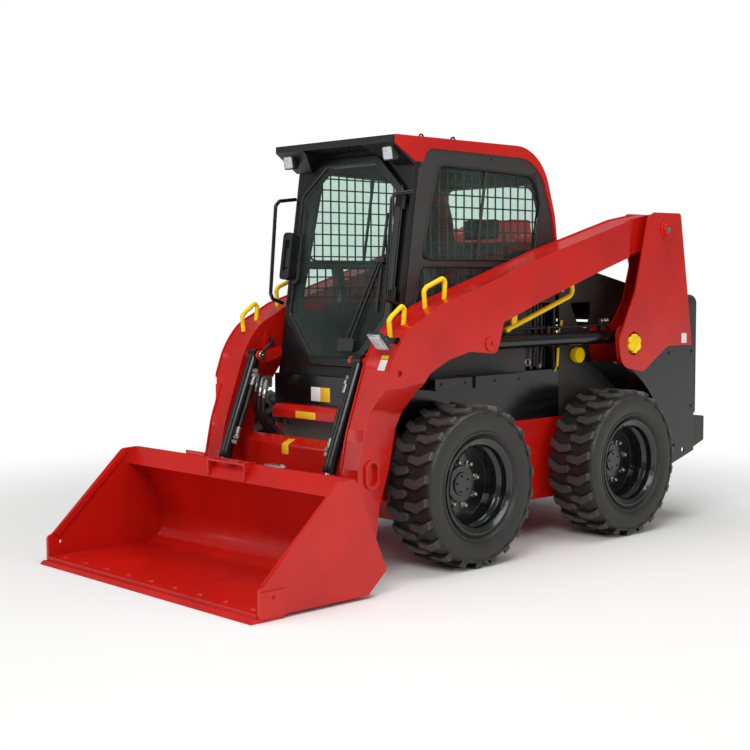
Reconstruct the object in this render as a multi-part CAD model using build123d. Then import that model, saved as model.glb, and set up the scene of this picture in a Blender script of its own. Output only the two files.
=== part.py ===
from build123d import *
from math import atan2, cos, degrees, hypot, pi, radians, sin, tan
import os

# Skid steer loader with bucket.  Millimetres.
# Drawn with the front axle at y = 0; the machine faces -Y, its left side is +X, the floor is z = 0.
# Every node is moved by FRONT_AXLE_Y when it is written, so that the bounding box is centred on the origin.

# ---------------------------------------------------------------- driving dimensions
FRONT_AXLE_Y = -282.0        # front axle in the finished frame
TYRE_RADIUS = 388.0          # 10-16.5 tyre, over the lugs
TYRE_WIDTH = 275.0
CARCASS_RADIUS = 364.0       # bottom of the grooves between the lugs
LUGS_PER_ROW = 22
LUG_HEIGHT_LOSS = 1.6        # the flat tops lie this far inside the tyre's radius
LUG_ROOT = 335.0             # height inside the carcass where the bars start
LUG_OUTLINE = (              # (x, distance round the tread) of a bar, from the shoulder in and back
    (129, -39),
    (58, -4),
    (-6, 4),
    (62, 36),
    (129, 0),
)
WHEEL_X = 607.5              # middle of the tyre
WHEELBASE = 1185.0
AXLE_Z = TYRE_RADIUS
RIM_FLANGE_RADIUS = 232.0
RIM_WELL_RADIUS = 188.0      # outside of the drop centre
RIM_FLANGE_X = 124.0         # half width over the rim flanges
BEAD_RADIUS = 206.0

TUB_HALF_WIDTH = 420.0
TUB_FRONT_Y = -300.0
TUB_REAR_Y = 1640.0
TUB_BOTTOM_Z = 205.0
TUB_TOP_Z = 630.0
DECK_Z = 885.0               # top of the body that the cab stands on

CAB_HALF_WIDTH = 417.0
CAB_FRONT_Y = -275.0         # front plane of the cab at deck height
CAB_LEAN = 0.145             # how far the cab front leans back for each unit of height
CAB_REAR_Y = 949.0
ROOF_Z = 2035.0
GUARD_PITCH = 58.0           # mesh of the window guards
GUARD_BAR = 7.0
ROOF_SHEET = 8.0
CAB_WALL = 12.0
DOOR_PROUD = 27.0            # outer face of the door in front of the cab front
DOOR_GAP = 5.0

HOOD_FALL = 0.209            # fall of the engine cover for each unit of length
TOWER_INNER_X = 427.0        # inner tower plate, inner face
TOWER_OUTER_X = 657.0        # outer tower plate, outer face
TOWER_PLATE = 10.0
BOOM_PIVOT = (1595.0, 1625.0)        # (y, z)
CAP_CENTRE = (1302.0, 1013.0)        # yellow cap in the outer tower plate
CAP_HOLE_RADIUS = 62.0
TIE_DOWN = (1790.0, 398.0)           # lashing hole in each rear side panel
TIE_DOWN_RADIUS = 14.0
LIFTING_EYE_RADIUS = 9.0

ARM_INNER_X = 445.0
ARM_OUTER_X = 630.0
ARM_PLATE = 8.0
ARM_EDGE = 6.0               # how far the side plates stand past the plates between them
ARM_LOWER_X = 570.0          # outer face of the slimmer lower arm
ARM_REAR_X = 605.0           # outer face where the arm runs between the tower plates

LIFT_X = 550.0               # middle of the lift cylinders
LIFT_ROD_PIN = (179.0, 1049.0)
LIFT_BASE_PIN = (1330.0, 1050.0)
LIFT_BARREL_RADIUS = 35.0
LIFT_LUG_X = 603.0           # inner face of the lug outboard of the lift cylinder's base
TILT_X = 388.0
TILT_TOP_PIN = (-452.0, 985.0)
TILT_ROD_PIN = (-702.0, 353.0)
TILT_BARREL_RADIUS = 31.0
LUG_OFFSET = 37.0            # lugs and ears stand this far from the middle of a tilt cylinder
COUPLER_PIVOT = (-580.0, 220.0)

BUCKET_HALF_WIDTH = 814.5    # over the cheeks
EDGE_HALF_WIDTH = 822.5      # over the wear plates
BUCKET_HEEL = (-694.0, 111.0)        # where the bucket's back starts to rise
BUCKET_TOP = (-877.0, 523.0)         # top of the bucket's back
BUCKET_TIP_Y = -1443.0
BUCKET_PLATE = 10.0

SIDES = (("left", 1), ("right", -1))
AXLES = (("front", 0.0), ("rear", WHEELBASE))


# ---------------------------------------------------------------- drawing helpers
def rounded_face(corners):
    """Face inside a closed outline; each corner is (u, v) or (u, v, radius of its round)."""
    edges = []
    ends = []
    count = len(corners)
    for index, corner in enumerate(corners):
        here = Vector(corner[0], corner[1])
        radius = corner[2] if len(corner) > 2 else 0
        if radius == 0:
            ends.append((here, here))
            continue
        before = Vector(*corners[index - 1][:2])
        after = Vector(*corners[(index + 1) % count][:2])
        to_before = (before - here).normalized()
        to_after = (after - here).normalized()
        half_angle = radians(to_before.get_angle(to_after)) / 2
        reach = radius / tan(half_angle)
        bisector = (to_before + to_after).normalized()
        middle = here + bisector * (radius / sin(half_angle) - radius)
        start = here + to_before * reach
        end = here + to_after * reach
        edges.append(ThreePointArc(start, middle, end))
        ends.append((start, end))
    for index in range(count):
        line_start = ends[index - 1][1]
        line_end = ends[index][0]
        if (line_end - line_start).length > 0.01:
            edges.append(Line(line_start, line_end))
    return make_face(edges)


def side_prism(corners, x_from, x_to):
    """Outline in side view, corners (y, z, radius), as a solid from x_from to x_to."""
    face = Plane.YZ.offset(x_from) * rounded_face(corners)
    return extrude(face, amount=x_to - x_from, dir=(1, 0, 0))


def front_prism(corners, y_from, y_to):
    """Outline in front view, corners (x, z, radius), as a solid from y_from to y_to."""
    face = Plane((0, y_from, 0), x_dir=(1, 0, 0), z_dir=(0, -1, 0)) * rounded_face(corners)
    return extrude(face, amount=y_to - y_from, dir=(0, 1, 0))


def block(x_from, x_to, y_from, y_to, z_from, z_to):
    """Box between two corners."""
    size = (x_to - x_from, y_to - y_from, z_to - z_from)
    middle = ((x_from + x_to) / 2, (y_from + y_to) / 2, (z_from + z_to) / 2)
    return Pos(*middle) * Box(*size)


def cross_rod(radius, x_from, x_to, centre):
    """Cylinder along X at centre (y, z)."""
    middle = ((x_from + x_to) / 2, centre[0], centre[1])
    return Pos(*middle) * Rot(0, 90, 0) * Cylinder(radius, abs(x_to - x_from))


def rod_between(radius, start, end):
    """Cylinder from one point (x, y, z) to another."""
    start = Vector(*start)
    end = Vector(*end)
    plane = Plane(start, z_dir=(end - start))
    return plane * Cylinder(radius, (end - start).length, align=(Align.CENTER, Align.CENTER, Align.MIN))


def bent_tube(points, tube_radius):
    """Eight-sided bar that follows points (x, y, z) with mitred bends."""
    path = Polyline(*points)
    start = Plane(path @ 0, z_dir=path % 0)
    section = start * RegularPolygon(tube_radius, 8)
    return sweep(section, path=path, transition=Transition.RIGHT)


def mirrored(shape):
    """The same shape on the machine's other side."""
    return mirror(shape, about=Plane.YZ)


def both_sides(shape):
    """The left shape and its mirror image as one node."""
    return Compound(children=[shape, mirrored(shape)])


def join(first, *others):
    """Fuse shapes that carry each other."""
    result = first
    for other in others:
        result = result + other
    return result


# ---------------------------------------------------------------- wheels
def tyre_ring(radius):
    """Ring with one flat for each lug of a row, as a face across the X axis at its origin."""
    return Plane.YZ * RegularPolygon(radius / cos(pi / LUGS_PER_ROW), LUGS_PER_ROW, major_radius=True)


def tyre_slice(near, far):
    """Slice of the tyre between two rings, each (x, radius)."""
    faces = [Pos(x, 0, 0) * tyre_ring(radius) for x, radius in (near, far)]
    return loft(faces, ruled=True)


def make_lug(side):
    """One hooked tread bar of a row, at the top of the tyre."""
    outline = [(side * x, -along) for x, along in LUG_OUTLINE]
    if side < 0:
        outline = outline[::-1]
    height = TYRE_RADIUS - LUG_HEIGHT_LOSS - LUG_ROOT
    return Pos(0, 0, LUG_ROOT) * extrude(make_face(Polyline(*outline, close=True)), amount=height)


def make_tyre():
    """Lug tyre about the X axis: a faceted carcass with two staggered rows of hooked bars."""
    half = TYRE_WIDTH / 2
    profile = (                                   # (x, radius) over the outside
        (-half, 268),
        (-half + 1, 342),
        (-114, CARCASS_RADIUS),
        (114, CARCASS_RADIUS),
        (half - 1, 342),
        (half, 268),
    )
    carcass = None
    for near, far in zip(profile, profile[1:]):
        carcass_slice = tyre_slice(near, far)
        carcass = carcass_slice if carcass is None else carcass + carcass_slice
    for side in (-1, 1):
        carcass = carcass - tyre_slice((side * 114, 234), (side * (half + 1), 269.5))
    bore = extrude(tyre_ring(BEAD_RADIUS + 0.5), amount=TYRE_WIDTH, both=True)
    lugs = []
    for side, offset in ((1, 0.0), (-1, 0.5)):
        lug = make_lug(side)
        for index in range(LUGS_PER_ROW):
            lugs.append(Rot((index + offset) * 360 / LUGS_PER_ROW, 0, 0) * lug)
    return carcass.fuse(*lugs) - bore


def make_rim():
    """Drop-centre rim with its disc, hub and the axle shaft that turns with it."""
    disc_x = -10.0
    outer_half = [                               # (x, radius) of one half, from the well out to the flange
        (66, RIM_WELL_RADIUS),
        (84, BEAD_RADIUS),
        (RIM_FLANGE_X - 10, BEAD_RADIUS),
        (RIM_FLANGE_X - 10, RIM_FLANGE_RADIUS - 2),
        (RIM_FLANGE_X - 4, RIM_FLANGE_RADIUS),
        (RIM_FLANGE_X, RIM_FLANGE_RADIUS - 4),
        (RIM_FLANGE_X, RIM_FLANGE_RADIUS - 10),
        (RIM_FLANGE_X - 12, BEAD_RADIUS - 9),
        (80, BEAD_RADIUS - 9),
        (62, RIM_WELL_RADIUS - 9),
    ]
    barrel = outer_half + [(-x, radius) for x, radius in outer_half[::-1]]
    rim = revolve(Plane.XY * rounded_face(barrel), axis=Axis.X)
    disc = cross_rod(RIM_WELL_RADIUS - 5, disc_x - 10, disc_x, (0, 0))
    hub_face = cross_rod(88, disc_x - 1, disc_x + 12, (0, 0))
    hub_cap = cross_rod(56, disc_x, disc_x + 20, (0, 0))
    hub_back = cross_rod(92, disc_x - 52, disc_x - 5, (0, 0))
    shaft = cross_rod(34, -170, disc_x - 5, (0, 0))
    return join(rim, disc, hub_face, hub_cap, hub_back, shaft)


# ---------------------------------------------------------------- chassis
def make_frame_tub():
    """Welded lower frame that holds the chain cases: an open-topped box."""
    wall = 10.0
    outer = [
        (TUB_FRONT_Y, TUB_TOP_Z),
        (TUB_FRONT_Y, 320, 20),
        (-210, TUB_BOTTOM_Z, 20),
        (TUB_REAR_Y, TUB_BOTTOM_Z, 20),
        (TUB_REAR_Y, TUB_TOP_Z),
    ]
    inner = [
        (TUB_FRONT_Y + wall, TUB_TOP_Z + 1),
        (TUB_FRONT_Y + wall, 325, 15),
        (-205, TUB_BOTTOM_Z + wall, 15),
        (TUB_REAR_Y - wall, TUB_BOTTOM_Z + wall, 15),
        (TUB_REAR_Y - wall, TUB_TOP_Z + 1),
    ]
    shell = side_prism(outer, -TUB_HALF_WIDTH, TUB_HALF_WIDTH)
    room = side_prism(inner, -TUB_HALF_WIDTH + wall, TUB_HALF_WIDTH - wall)
    tub = shell - room
    for _, axle_y in AXLES:
        tub = tub - cross_rod(40, -TUB_HALF_WIDTH - 1, TUB_HALF_WIDTH + 1, (axle_y, AXLE_Z))
    return tub


def make_axle_housings():
    """Four flanged tubes that carry the wheel shafts out from the frame."""
    solids = []
    for _, axle_y in AXLES:
        for _, side in SIDES:
            centre = (axle_y, AXLE_Z)
            flange = cross_rod(92, side * TUB_HALF_WIDTH, side * (TUB_HALF_WIDTH + 16), centre)
            tube = cross_rod(58, side * TUB_HALF_WIDTH, side * 540, centre)
            bore = cross_rod(37, side * (TUB_HALF_WIDTH - 5), side * 545, centre)
            solids.append(flange + tube - bore)
    return Compound(children=solids)


def make_body_deck():
    """Black upper body below the cab: front wall, sides and top, open below."""
    wall = 10.0
    rear = 960.0
    outer = block(-TUB_HALF_WIDTH, TUB_HALF_WIDTH, TUB_FRONT_Y, rear, TUB_TOP_Z, DECK_Z)
    room = block(
        -TUB_HALF_WIDTH + wall, TUB_HALF_WIDTH - wall, TUB_FRONT_Y + wall, rear + 1, TUB_TOP_Z - 1, DECK_Z - wall
    )
    return outer - room


def make_front_cover():
    """Dark cover plate on the front of the frame, under the step bar."""
    cover = front_prism([(-345, 415), (345, 415), (345, 662), (-345, 662)], TUB_FRONT_Y - 7, TUB_FRONT_Y)
    return cover


def make_front_step():
    """Bevelled step bar on the front wall."""
    corners = [
        (TUB_FRONT_Y, 670),
        (-380, 670, 6),
        (-380, 713, 4),
        (-352, 736, 4),
        (TUB_FRONT_Y, 736),
    ]
    return side_prism(corners, -345, 345)


def make_side_sills():
    """Box ledge along each side under the cab."""
    front = side_prism([(-109, 832, 12), (-109, 888), (160, 888), (160, 832)], TUB_HALF_WIDTH, 540)
    rear = side_prism([(160, 832), (160, 890), (530, 890, 4), (530, 836, 4)], TUB_HALF_WIDTH, 552)
    return both_sides(front + rear)


def make_engine_bay_sides():
    """Upright panels beside the engine, from the frame up to the engine cover."""
    corners = [
        (960, TUB_TOP_Z),
        (TUB_REAR_Y, TUB_TOP_Z),
        (1850, 830),
        (1850, 1262),
        (960, 1448),
    ]
    panel = side_prism(corners, 408, TUB_HALF_WIDTH)
    window = side_prism([(1051, 1232, 12), (1225, 1236, 18), (1232, 1180), (1212, 1091, 18), (1132, 1096, 12)], 400, 430)
    return both_sides(panel - window)


def make_engine_block():
    """Engine and pump as one plain block on the frame floor."""
    return block(-250, 250, 1020, 1540, TUB_BOTTOM_Z + 10, 1010)


def make_hood():
    """Sloping engine cover between the towers."""
    corners = [
        (955, 1449.5),
        (1850, 1262.5),
        (1850, 1274.5),
        (955, 1461.5),
    ]
    cover = side_prism(corners, -TUB_HALF_WIDTH, TUB_HALF_WIDTH)
    for y in range(1500, 1760, 40):
        for centre_x in (-170, 170):
            cover = cover - block(centre_x - 110, centre_x + 110, y, y + 16, 1270, 1420)
    return cover


def make_hood_rails():
    """Yellow grab rails that stand on the engine cover, each side of its louvres."""
    y_front, y_back, top = 1075.0, 1420.0, 1550.0
    rails = []
    for x in (-340, 200):
        feet = [1461.5 - (y - 955) * HOOD_FALL - 2 for y in (y_front, y_back)]
        points = [(x, y_front, feet[0]), (x, y_front, top), (x, y_back, top), (x, y_back, feet[1])]
        rails.append(bent_tube(points, 12))
    return Compound(children=rails) - make_hood()


def make_rear_frame():
    """Upright frame across the back that the tailgate closes on."""
    y_from = 1853.0
    y_to = 1895.0
    outer = front_prism(
        [(-637, 400), (637, 400), (637, 985), (600, 985), (600, 1268, 50), (-600, 1268, 50), (-600, 985), (-637, 985)],
        y_from,
        y_to,
    )
    opening = front_prism(
        [(-555, 470, 20), (555, 470, 20), (555, 1222, 30), (-555, 1222, 30)], y_from - 1, y_to + 1
    )
    return outer - opening


def make_side_skirts():
    """Dark rear side panels with the wheel arch cut out."""
    arch = [(1227, 904), (1440, 765), (1640, 400)]
    points = [(1227, 985), (1882, 985), (1895, 400), (1895, 386), (1665, 323)]
    edges = [
        ThreePointArc(*arch),
        Line(arch[2], points[4]),
        Polyline(points[4], points[3], points[2], points[1], points[0]),
        Line(points[0], arch[0]),
    ]
    face = Plane.YZ.offset(637) * make_face(edges)
    panel = extrude(face, amount=10, dir=(1, 0, 0))
    panel = panel - cross_rod(CAP_HOLE_RADIUS, 630, 650, CAP_CENTRE)
    panel = panel - cross_rod(TIE_DOWN_RADIUS, 630, 650, TIE_DOWN)
    return both_sides(panel)


def make_rear_arches():
    """Curved liners over the rear tyres, from the frame out to the side panels."""
    sheet = 8.0
    inner = ThreePointArc((1150, 916), (1440, 765), (1640, 400))
    outer = ThreePointArc((1150, 916 + sheet), (1440 + 5.6, 765 + 5.6), (1640 + sheet, 400))
    edges = [
        inner,
        Line((1640, 400), (1640 + sheet, 400)),
        outer,
        Line((1150, 916 + sheet), (1150, 916)),
    ]
    face = Plane.YZ.offset(TUB_HALF_WIDTH) * make_face(edges)
    liner = extrude(face, amount=637 - TUB_HALF_WIDTH, dir=(1, 0, 0))
    return both_sides(liner)


def make_bumper():
    """Rear bumper: a bent plate closed at its ends."""
    y_front = 1895.0
    corners = [(y_front, 400), (2007, 436, 5), (2007, 575, 8), (y_front, 575)]
    room = [(y_front - 1, 412), (1995, 446), (1995, 563), (y_front - 1, 563)]
    return side_prism(corners, -640, 640) - side_prism(room, -628, 628)


def make_tower(side):
    """Welded tower of two plates joined at the back; carries the arm pivot and the lift cylinder."""
    outer_plate = [
        (1424, 1690),
        (1476, 1717, 25),
        (1726, 1719, 22),
        (1795, 1323),
        (1849, 987),
        (1613, 987),
        (1386, 858, 4),
        (1200, 890, 90),
        (1168, 1030, 60),
        (1311, 1290, 60),
    ]
    inner_plate = [
        (1490, 1660, 60),
        (1530, 1718, 40),
        (1726, 1719, 22),
        (1795, 1323),
        (1849, 987),
        (1613, 987),
        (1386, 866, 4),
        (1225, 900, 60),
        (1195, 1100, 50),
        (1409, 1118, 60),
        (1501, 1241, 40),
        (1563, 1436, 40),
    ]
    rear_plate = [
        (1716, 1700),
        (1726, 1700),
        (1794, 1323),
        (1846, 988),
        (1836, 988),
        (1784, 1323),
    ]
    front_web = [(1613, 987), (1613, 997), (1836, 997), (1836, 987)]
    lug_plate = [
        (1820, 997),
        (1613, 997),
        (1386, 866, 4),
        (1225, 905, 60),
        (1200, 1100, 50),
        (1409, 1118, 60),
        (1790, 1180),
    ]
    outer = side_prism(outer_plate, TOWER_OUTER_X - TOWER_PLATE, TOWER_OUTER_X)
    lug = side_prism(lug_plate, LIFT_LUG_X, LIFT_LUG_X + TOWER_PLATE)
    inner = side_prism(inner_plate, TOWER_INNER_X, TOWER_INNER_X + TOWER_PLATE)
    inside = TOWER_INNER_X + TOWER_PLATE
    outside = TOWER_OUTER_X - TOWER_PLATE
    rear = side_prism(rear_plate, inside, outside)
    floor = side_prism(front_web, inside, outside)
    access_hole = cross_rod(CAP_HOLE_RADIUS, outside - 1, TOWER_OUTER_X + 1, CAP_CENTRE)
    boss = cross_rod(58, TOWER_OUTER_X, TOWER_OUTER_X + 8, BOOM_PIVOT)
    boss_step = cross_rod(42, TOWER_OUTER_X + 8, TOWER_OUTER_X + 18, BOOM_PIVOT)
    boss_hole = cross_rod(20, TOWER_OUTER_X + 6, TOWER_OUTER_X + 20, BOOM_PIVOT)
    boom_pin = cross_rod(30, TOWER_INNER_X - 12, TOWER_OUTER_X + 6, BOOM_PIVOT)
    lift_pin = cross_rod(20, TOWER_INNER_X - 6, LIFT_LUG_X + TOWER_PLATE + 4, LIFT_BASE_PIN)
    tower = join(outer, inner, rear, floor, lug) - access_hole
    tower = join(tower, boss, boss_step, boom_pin, lift_pin) - boss_hole
    if side < 0:
        tower = mirrored(tower)
    return tower


def make_tower_caps():
    """Yellow caps in the notched holes of the outer tower plates."""
    stem = cross_rod(18, LIFT_LUG_X + TOWER_PLATE, TOWER_OUTER_X, CAP_CENTRE)
    cap = cross_rod(52, TOWER_OUTER_X - 8, TOWER_OUTER_X + 12, CAP_CENTRE)
    return both_sides(stem + cap)


def make_fuel_cap():
    """Filler neck and cap on the left engine bay panel."""
    centre = (1089, 952)
    neck = cross_rod(34, TUB_HALF_WIDTH, 436, centre)
    cap = cross_rod(42, 436, 462, centre)
    return neck + cap


# ---------------------------------------------------------------- cab
def cab_front_y(z):
    """Front plane of the cab at height z."""
    return CAB_FRONT_Y + CAB_LEAN * (z - DECK_Z)


def leaning_prism(corners, proud_from, proud_to):
    """Outline (x, z, radius) carried onto the leaning cab front, between two depths in front of it."""
    y_from = CAB_FRONT_Y - proud_to
    y_to = CAB_FRONT_Y - proud_from
    cosine = cos(atan2(CAB_LEAN, 1.0))
    along = [(corner[0], (corner[1] - DECK_Z) / cosine, *corner[2:]) for corner in corners]
    upright = front_prism(along, y_from - CAB_FRONT_Y, y_to - CAB_FRONT_Y)
    lean = Rot(-degrees(atan2(CAB_LEAN, 1.0)), 0, 0)
    return Pos(0, CAB_FRONT_Y, DECK_Z) * lean * upright


DOOR_OCTAGON = (             # (half width, z) from the top edge down
    (188, 1962),
    (387, 1793),
    (387, 1159),
    (170, 932),
)


def octagon(inset, round_radius):
    """Closed door outline, inset all round."""
    right = []
    left = []
    for index, (half_width, z) in enumerate(DOOR_OCTAGON):
        shift = -inset if z > 1500 else inset
        if index in (0, 3):
            point = (half_width - 0.41 * inset, z + shift)
        else:
            point = (half_width - inset, z + 0.41 * shift)
        left.append((point[0], point[1], round_radius))
        right.append((-point[0], point[1], round_radius))
    return left + right[::-1]


def make_cab_front():
    """Leaning front wall with the eight-sided door opening."""
    outline = [
        (-CAB_HALF_WIDTH, DECK_Z),
        (CAB_HALF_WIDTH, DECK_Z),
        (CAB_HALF_WIDTH, 2022),
        (-CAB_HALF_WIDTH, 2022),
    ]
    wall = leaning_prism(outline, -30, 0)
    opening = leaning_prism(octagon(42, 40), -40, 10)
    above_roof = block(-500, 500, -400, 300, 2020, 2100)
    below_deck = block(-500, 500, -400, 0, 700, DECK_Z)
    return wall - opening - above_roof - below_deck


def make_cab_side(side):
    """Side wall with its two window openings."""
    inset = 34.0
    outline = [
        (CAB_FRONT_Y + inset, DECK_Z),
        (cab_front_y(2015) + inset, 2015),
        (786, 2015, 252),
        (902, 1687, 285),
        (930, 1500),
        (930, DECK_Z),
    ]
    upper_window = [
        (-78, 1455, 20),
        (38, 1912, 75),
        (760, 1890, 110),
        (806, 1745, 60),
        (748, 1455, 20),
    ]
    lower_window = [
        (-88, 1420, 12),
        (-128, 1195, 40),
        (560, 1195, 60),
        (704, 1420, 12),
    ]
    x_from = CAB_HALF_WIDTH - CAB_WALL
    wall = side_prism(outline, x_from, CAB_HALF_WIDTH)
    wall = wall - side_prism(upper_window, x_from - 1, CAB_HALF_WIDTH + 1)
    wall = wall - side_prism(lower_window, x_from - 1, CAB_HALF_WIDTH + 1)
    mullion = side_prism([(386, 1915), (402, 1915), (324, 1440), (308, 1440)], x_from, x_from + 7)
    bay_y, bay_top, bay_depth, sheet = 690.0, 1235.0, 60.0, 6.0
    bay = block(x_from - 1, CAB_HALF_WIDTH + 1, bay_y, 918, DECK_Z - 1, bay_top)
    bay_back = block(x_from - bay_depth, x_from - bay_depth + sheet, bay_y, 917, DECK_Z, bay_top)
    bay_front = block(x_from - bay_depth, x_from, bay_y - sheet, bay_y, DECK_Z, bay_top + sheet)
    bay_roof = block(x_from - bay_depth, x_from, bay_y - sheet, 917, bay_top, bay_top + sheet)
    wall = join(wall - bay, mullion, bay_back, bay_front, bay_roof)
    if side < 0:
        wall = mirrored(wall)
    return wall


def make_cab_rear():
    """Rear wall with its window, between the side walls."""
    x_in = CAB_HALF_WIDTH - CAB_WALL
    wall = block(-x_in, x_in, CAB_REAR_Y - 31, CAB_REAR_Y - 19, DECK_Z, 1515)
    return wall


def make_bay_rails():
    """Upright channels in the recess behind each side panel, which the hoses run along."""
    rails = []
    for y in (716, 786, 842, 902):
        rails.append(block(352, 374, y - 9, y + 9, DECK_Z, 1234))
    return both_sides(Compound(children=rails))


def make_cab_floor():
    """Floor, seat box and the two side consoles."""
    x_in = CAB_HALF_WIDTH - CAB_WALL
    floor = block(-x_in + 66, x_in - 66, -230, CAB_REAR_Y - 32, DECK_Z, DECK_Z + 10)
    wing = block(x_in - 66, x_in, -230, 683, DECK_Z, DECK_Z + 10)
    floor = join(floor, wing, mirrored(wing))
    seat_box = block(-230, 230, 330, CAB_REAR_Y - 60, DECK_Z + 10, 1130)
    consoles = []
    for _, side in SIDES:
        corners = [(-20, DECK_Z + 10), (20, 1240, 30), (620, 1240, 30), (620, DECK_Z + 10)]
        console = side_prism(corners, 290, x_in - 24)
        if side < 0:
            console = mirrored(console)
        consoles.append(console)
    return join(floor, seat_box, *consoles)


ROOF_OUTER = [               # (y, z, round) of the roof skin seen from the side
    (-262, 2035, 8),
    (800, 2035, 270),
    (915, 1690, 300),
    (942, 1500),
]


def make_cab_roof():
    """Red roof shell that wraps down the back and carries the side cheeks."""
    half = CAB_HALF_WIDTH + ROOF_SHEET
    outer = [(-262, 1500)] + ROOF_OUTER
    inner = [
        (-270, 1400),
        (-270, 2025),
        (793, 2025, 262),
        (906, 1688, 290),
        (932.5, 1503),
        (932.5, 1400),
    ]
    shell = side_prism(outer, -half, half) - side_prism(inner, -half + ROOF_SHEET, half - ROOF_SHEET)
    dark_panel = [
        (-68, 1917, 10),
        (-44, 1984, 60),
        (785, 1974, 230),
        (893, 1683, 200),
        (928, 1500),
        (930, 1400),
        (-400, 1400),
        (-400, 1990),
        (-262, 1995, 8),
        (-125, 1915, 15),
    ]
    shell = shell - side_prism(dark_panel, -half - 1, half + 1)
    rear_window = [(-310, 1560, 50), (310, 1560, 50), (310, 1850, 60), (-310, 1850, 60)]
    shell = shell - front_prism(rear_window, 750, 1000)
    return shell


def make_headliner():
    """Dark trim panel inside the roof."""
    strip = [
        (-80, 2006),
        (-80, 2012),
        (783.7, 2012, 215),
        (835, 1858),
        (829.5, 1856),
        (779.4, 2006, 209),
    ]
    return side_prism(strip, -404, 404)


def make_lifting_eyes():
    """Two small loops on the roof, for a hoist hook."""
    eyes = []
    for x, y in ((-300, 40), (300, 40), (-300, 265), (300, 265)):
        foot = block(x - 4, x + 4, y - 16, y + 16, ROOF_Z, ROOF_Z + 16)
        ring = cross_rod(16, x - 4, x + 4, (y, ROOF_Z + 16))
        hole = cross_rod(LIFTING_EYE_RADIUS, x - 5, x + 5, (y, ROOF_Z + 16))
        eyes.append(foot + ring - hole)
    return Compound(children=eyes)


def make_roof_visor():
    """Black visor under the roof's front lip, with lamp pods at its corners."""
    half = CAB_HALF_WIDTH + ROOF_SHEET
    sheet = [
        (-276, 2033, 8),
        (-276, 1998, 6),
        (-134, 1901, 5),
        (-126, 1913.5),
        (-262.5, 1994),
        (-262.5, 2033),
    ]
    side_view = [
        (-262.5, 2024.5),
        (-262.5, 1994),
        (-134, 1913),
        (cab_front_y(1913) - 0.5, 1913),
        (cab_front_y(2024) - 0.5, 2024.5),
    ]
    face = side_prism(sheet, -half, half)
    inner = side_prism(side_view, -CAB_HALF_WIDTH + 0.5, CAB_HALF_WIDTH - 0.5)
    relief = side_prism([(-300, 1890), (-300, 1998), (-240, 2000), (-100, 1986), (-100, 1890)], -215, 215)
    corners = front_prism([(-320, 1890), (320, 1890), (215, 1985), (-215, 1985)], -300, -90)
    visor = face + inner - relief - corners
    for row in range(3):
        for column in range(4):
            x = -105 + column * 70
            y = -232 + row * 30
            visor = visor - block(x - 26, x + 26, y - 6, y + 6, 1970, 2030)
    for _, side in SIDES:
        visor = visor - roof_lamp(side)
    return visor


def roof_lamp(side):
    """One square work lamp, half sunk into the sloping face of the visor."""
    return Pos(side * 362, -226, 1955) * Rot(10, 0, 0) * Box(76, 46, 74)


def make_roof_lamps():
    """Square work lamps in the visor pods."""
    return Compound(children=[roof_lamp(side) for _, side in SIDES])


def make_cab_glass():
    """Side panes behind the side openings, and the rear pane inside the roof's back."""
    x_to = CAB_HALF_WIDTH - CAB_WALL - 1.0
    x_from = x_to - 5.0
    upper = side_prism([(-100, 1440), (15, 1930, 60), (770, 1915, 110), (830, 1745, 60), (770, 1440)], x_from, x_to)
    lower = side_prism([(-104, 1434), (-146, 1255), (680, 1255), (735, 1434)], x_from, x_to)
    rear_pane = [(846, 1862), (902, 1692), (925, 1545), (920, 1545), (897, 1692), (841, 1862)]
    rear = side_prism(rear_pane, -335, 335)
    return both_sides(Compound(children=[upper, lower])) + Compound(children=[rear])


def guard_panel(outline, pitch, bar):
    """Square-mesh panel cut to an outline (y, z): a rim and bars with square holes between them."""
    face = make_face(Polyline(*outline, close=True))
    room = offset(face, amount=-bar * 1.5, kind=Kind.INTERSECTION)
    ys = [point[0] for point in outline]
    zs = [point[1] for point in outline]
    columns = int((max(ys) - min(ys)) / pitch) + 1
    rows = int((max(zs) - min(zs)) / pitch) + 1
    centre = ((max(ys) + min(ys)) / 2, (max(zs) + min(zs)) / 2)
    squares = Pos(*centre) * GridLocations(pitch, pitch, columns, rows) * Rectangle(pitch - bar, pitch - bar)
    return face - (room & (Sketch() + squares))


def make_window_guards():
    """Flat square-mesh guards inside the side windows."""
    panels = []
    for outline in (
        [(-92, 1444), (20, 1922), (700, 1906), (790, 1850), (812, 1745), (756, 1444)],
        [(-96, 1426), (-136, 1262), (650, 1262), (720, 1426)],
    ):
        face = guard_panel(outline, GUARD_PITCH, GUARD_BAR)
        panels.append(extrude(Plane.YZ.offset(393) * face, amount=5))
    return both_sides(Compound(children=panels))


def make_seat():
    """Driver's seat: cushion, back and head rest as separate solids that touch."""
    cushion = side_prism([(330, 1132, 25), (300, 1205, 30), (760, 1180, 20), (760, 1132, 10)], -215, 215)
    back = side_prism([(700, 1190, 20), (775, 1560, 40), (840, 1560, 30), (815, 1190, 20)], -205, 205)
    rest = side_prism([(778, 1562, 15), (792, 1690, 18), (838, 1690, 18), (840, 1562, 15)], -130, 130)
    return Compound(children=[cushion, back, rest])


def make_control_levers():
    """Joysticks on the two consoles."""
    levers = []
    for _, side in SIDES:
        boot = Pos(side * 335, 78, 1240) * Cone(38, 16, 55, align=(Align.CENTER, Align.CENTER, Align.MIN))
        stem = Pos(side * 335, 78, 1290) * Cylinder(9, 40, align=(Align.CENTER, Align.CENTER, Align.MIN))
        grip = Pos(side * 335, 72, 1325) * Rot(8, 0, 0) * Box(42, 48, 95, align=(Align.CENTER, Align.CENTER, Align.MIN))
        levers.append(boot + stem + grip)
    return Compound(children=levers)


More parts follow.
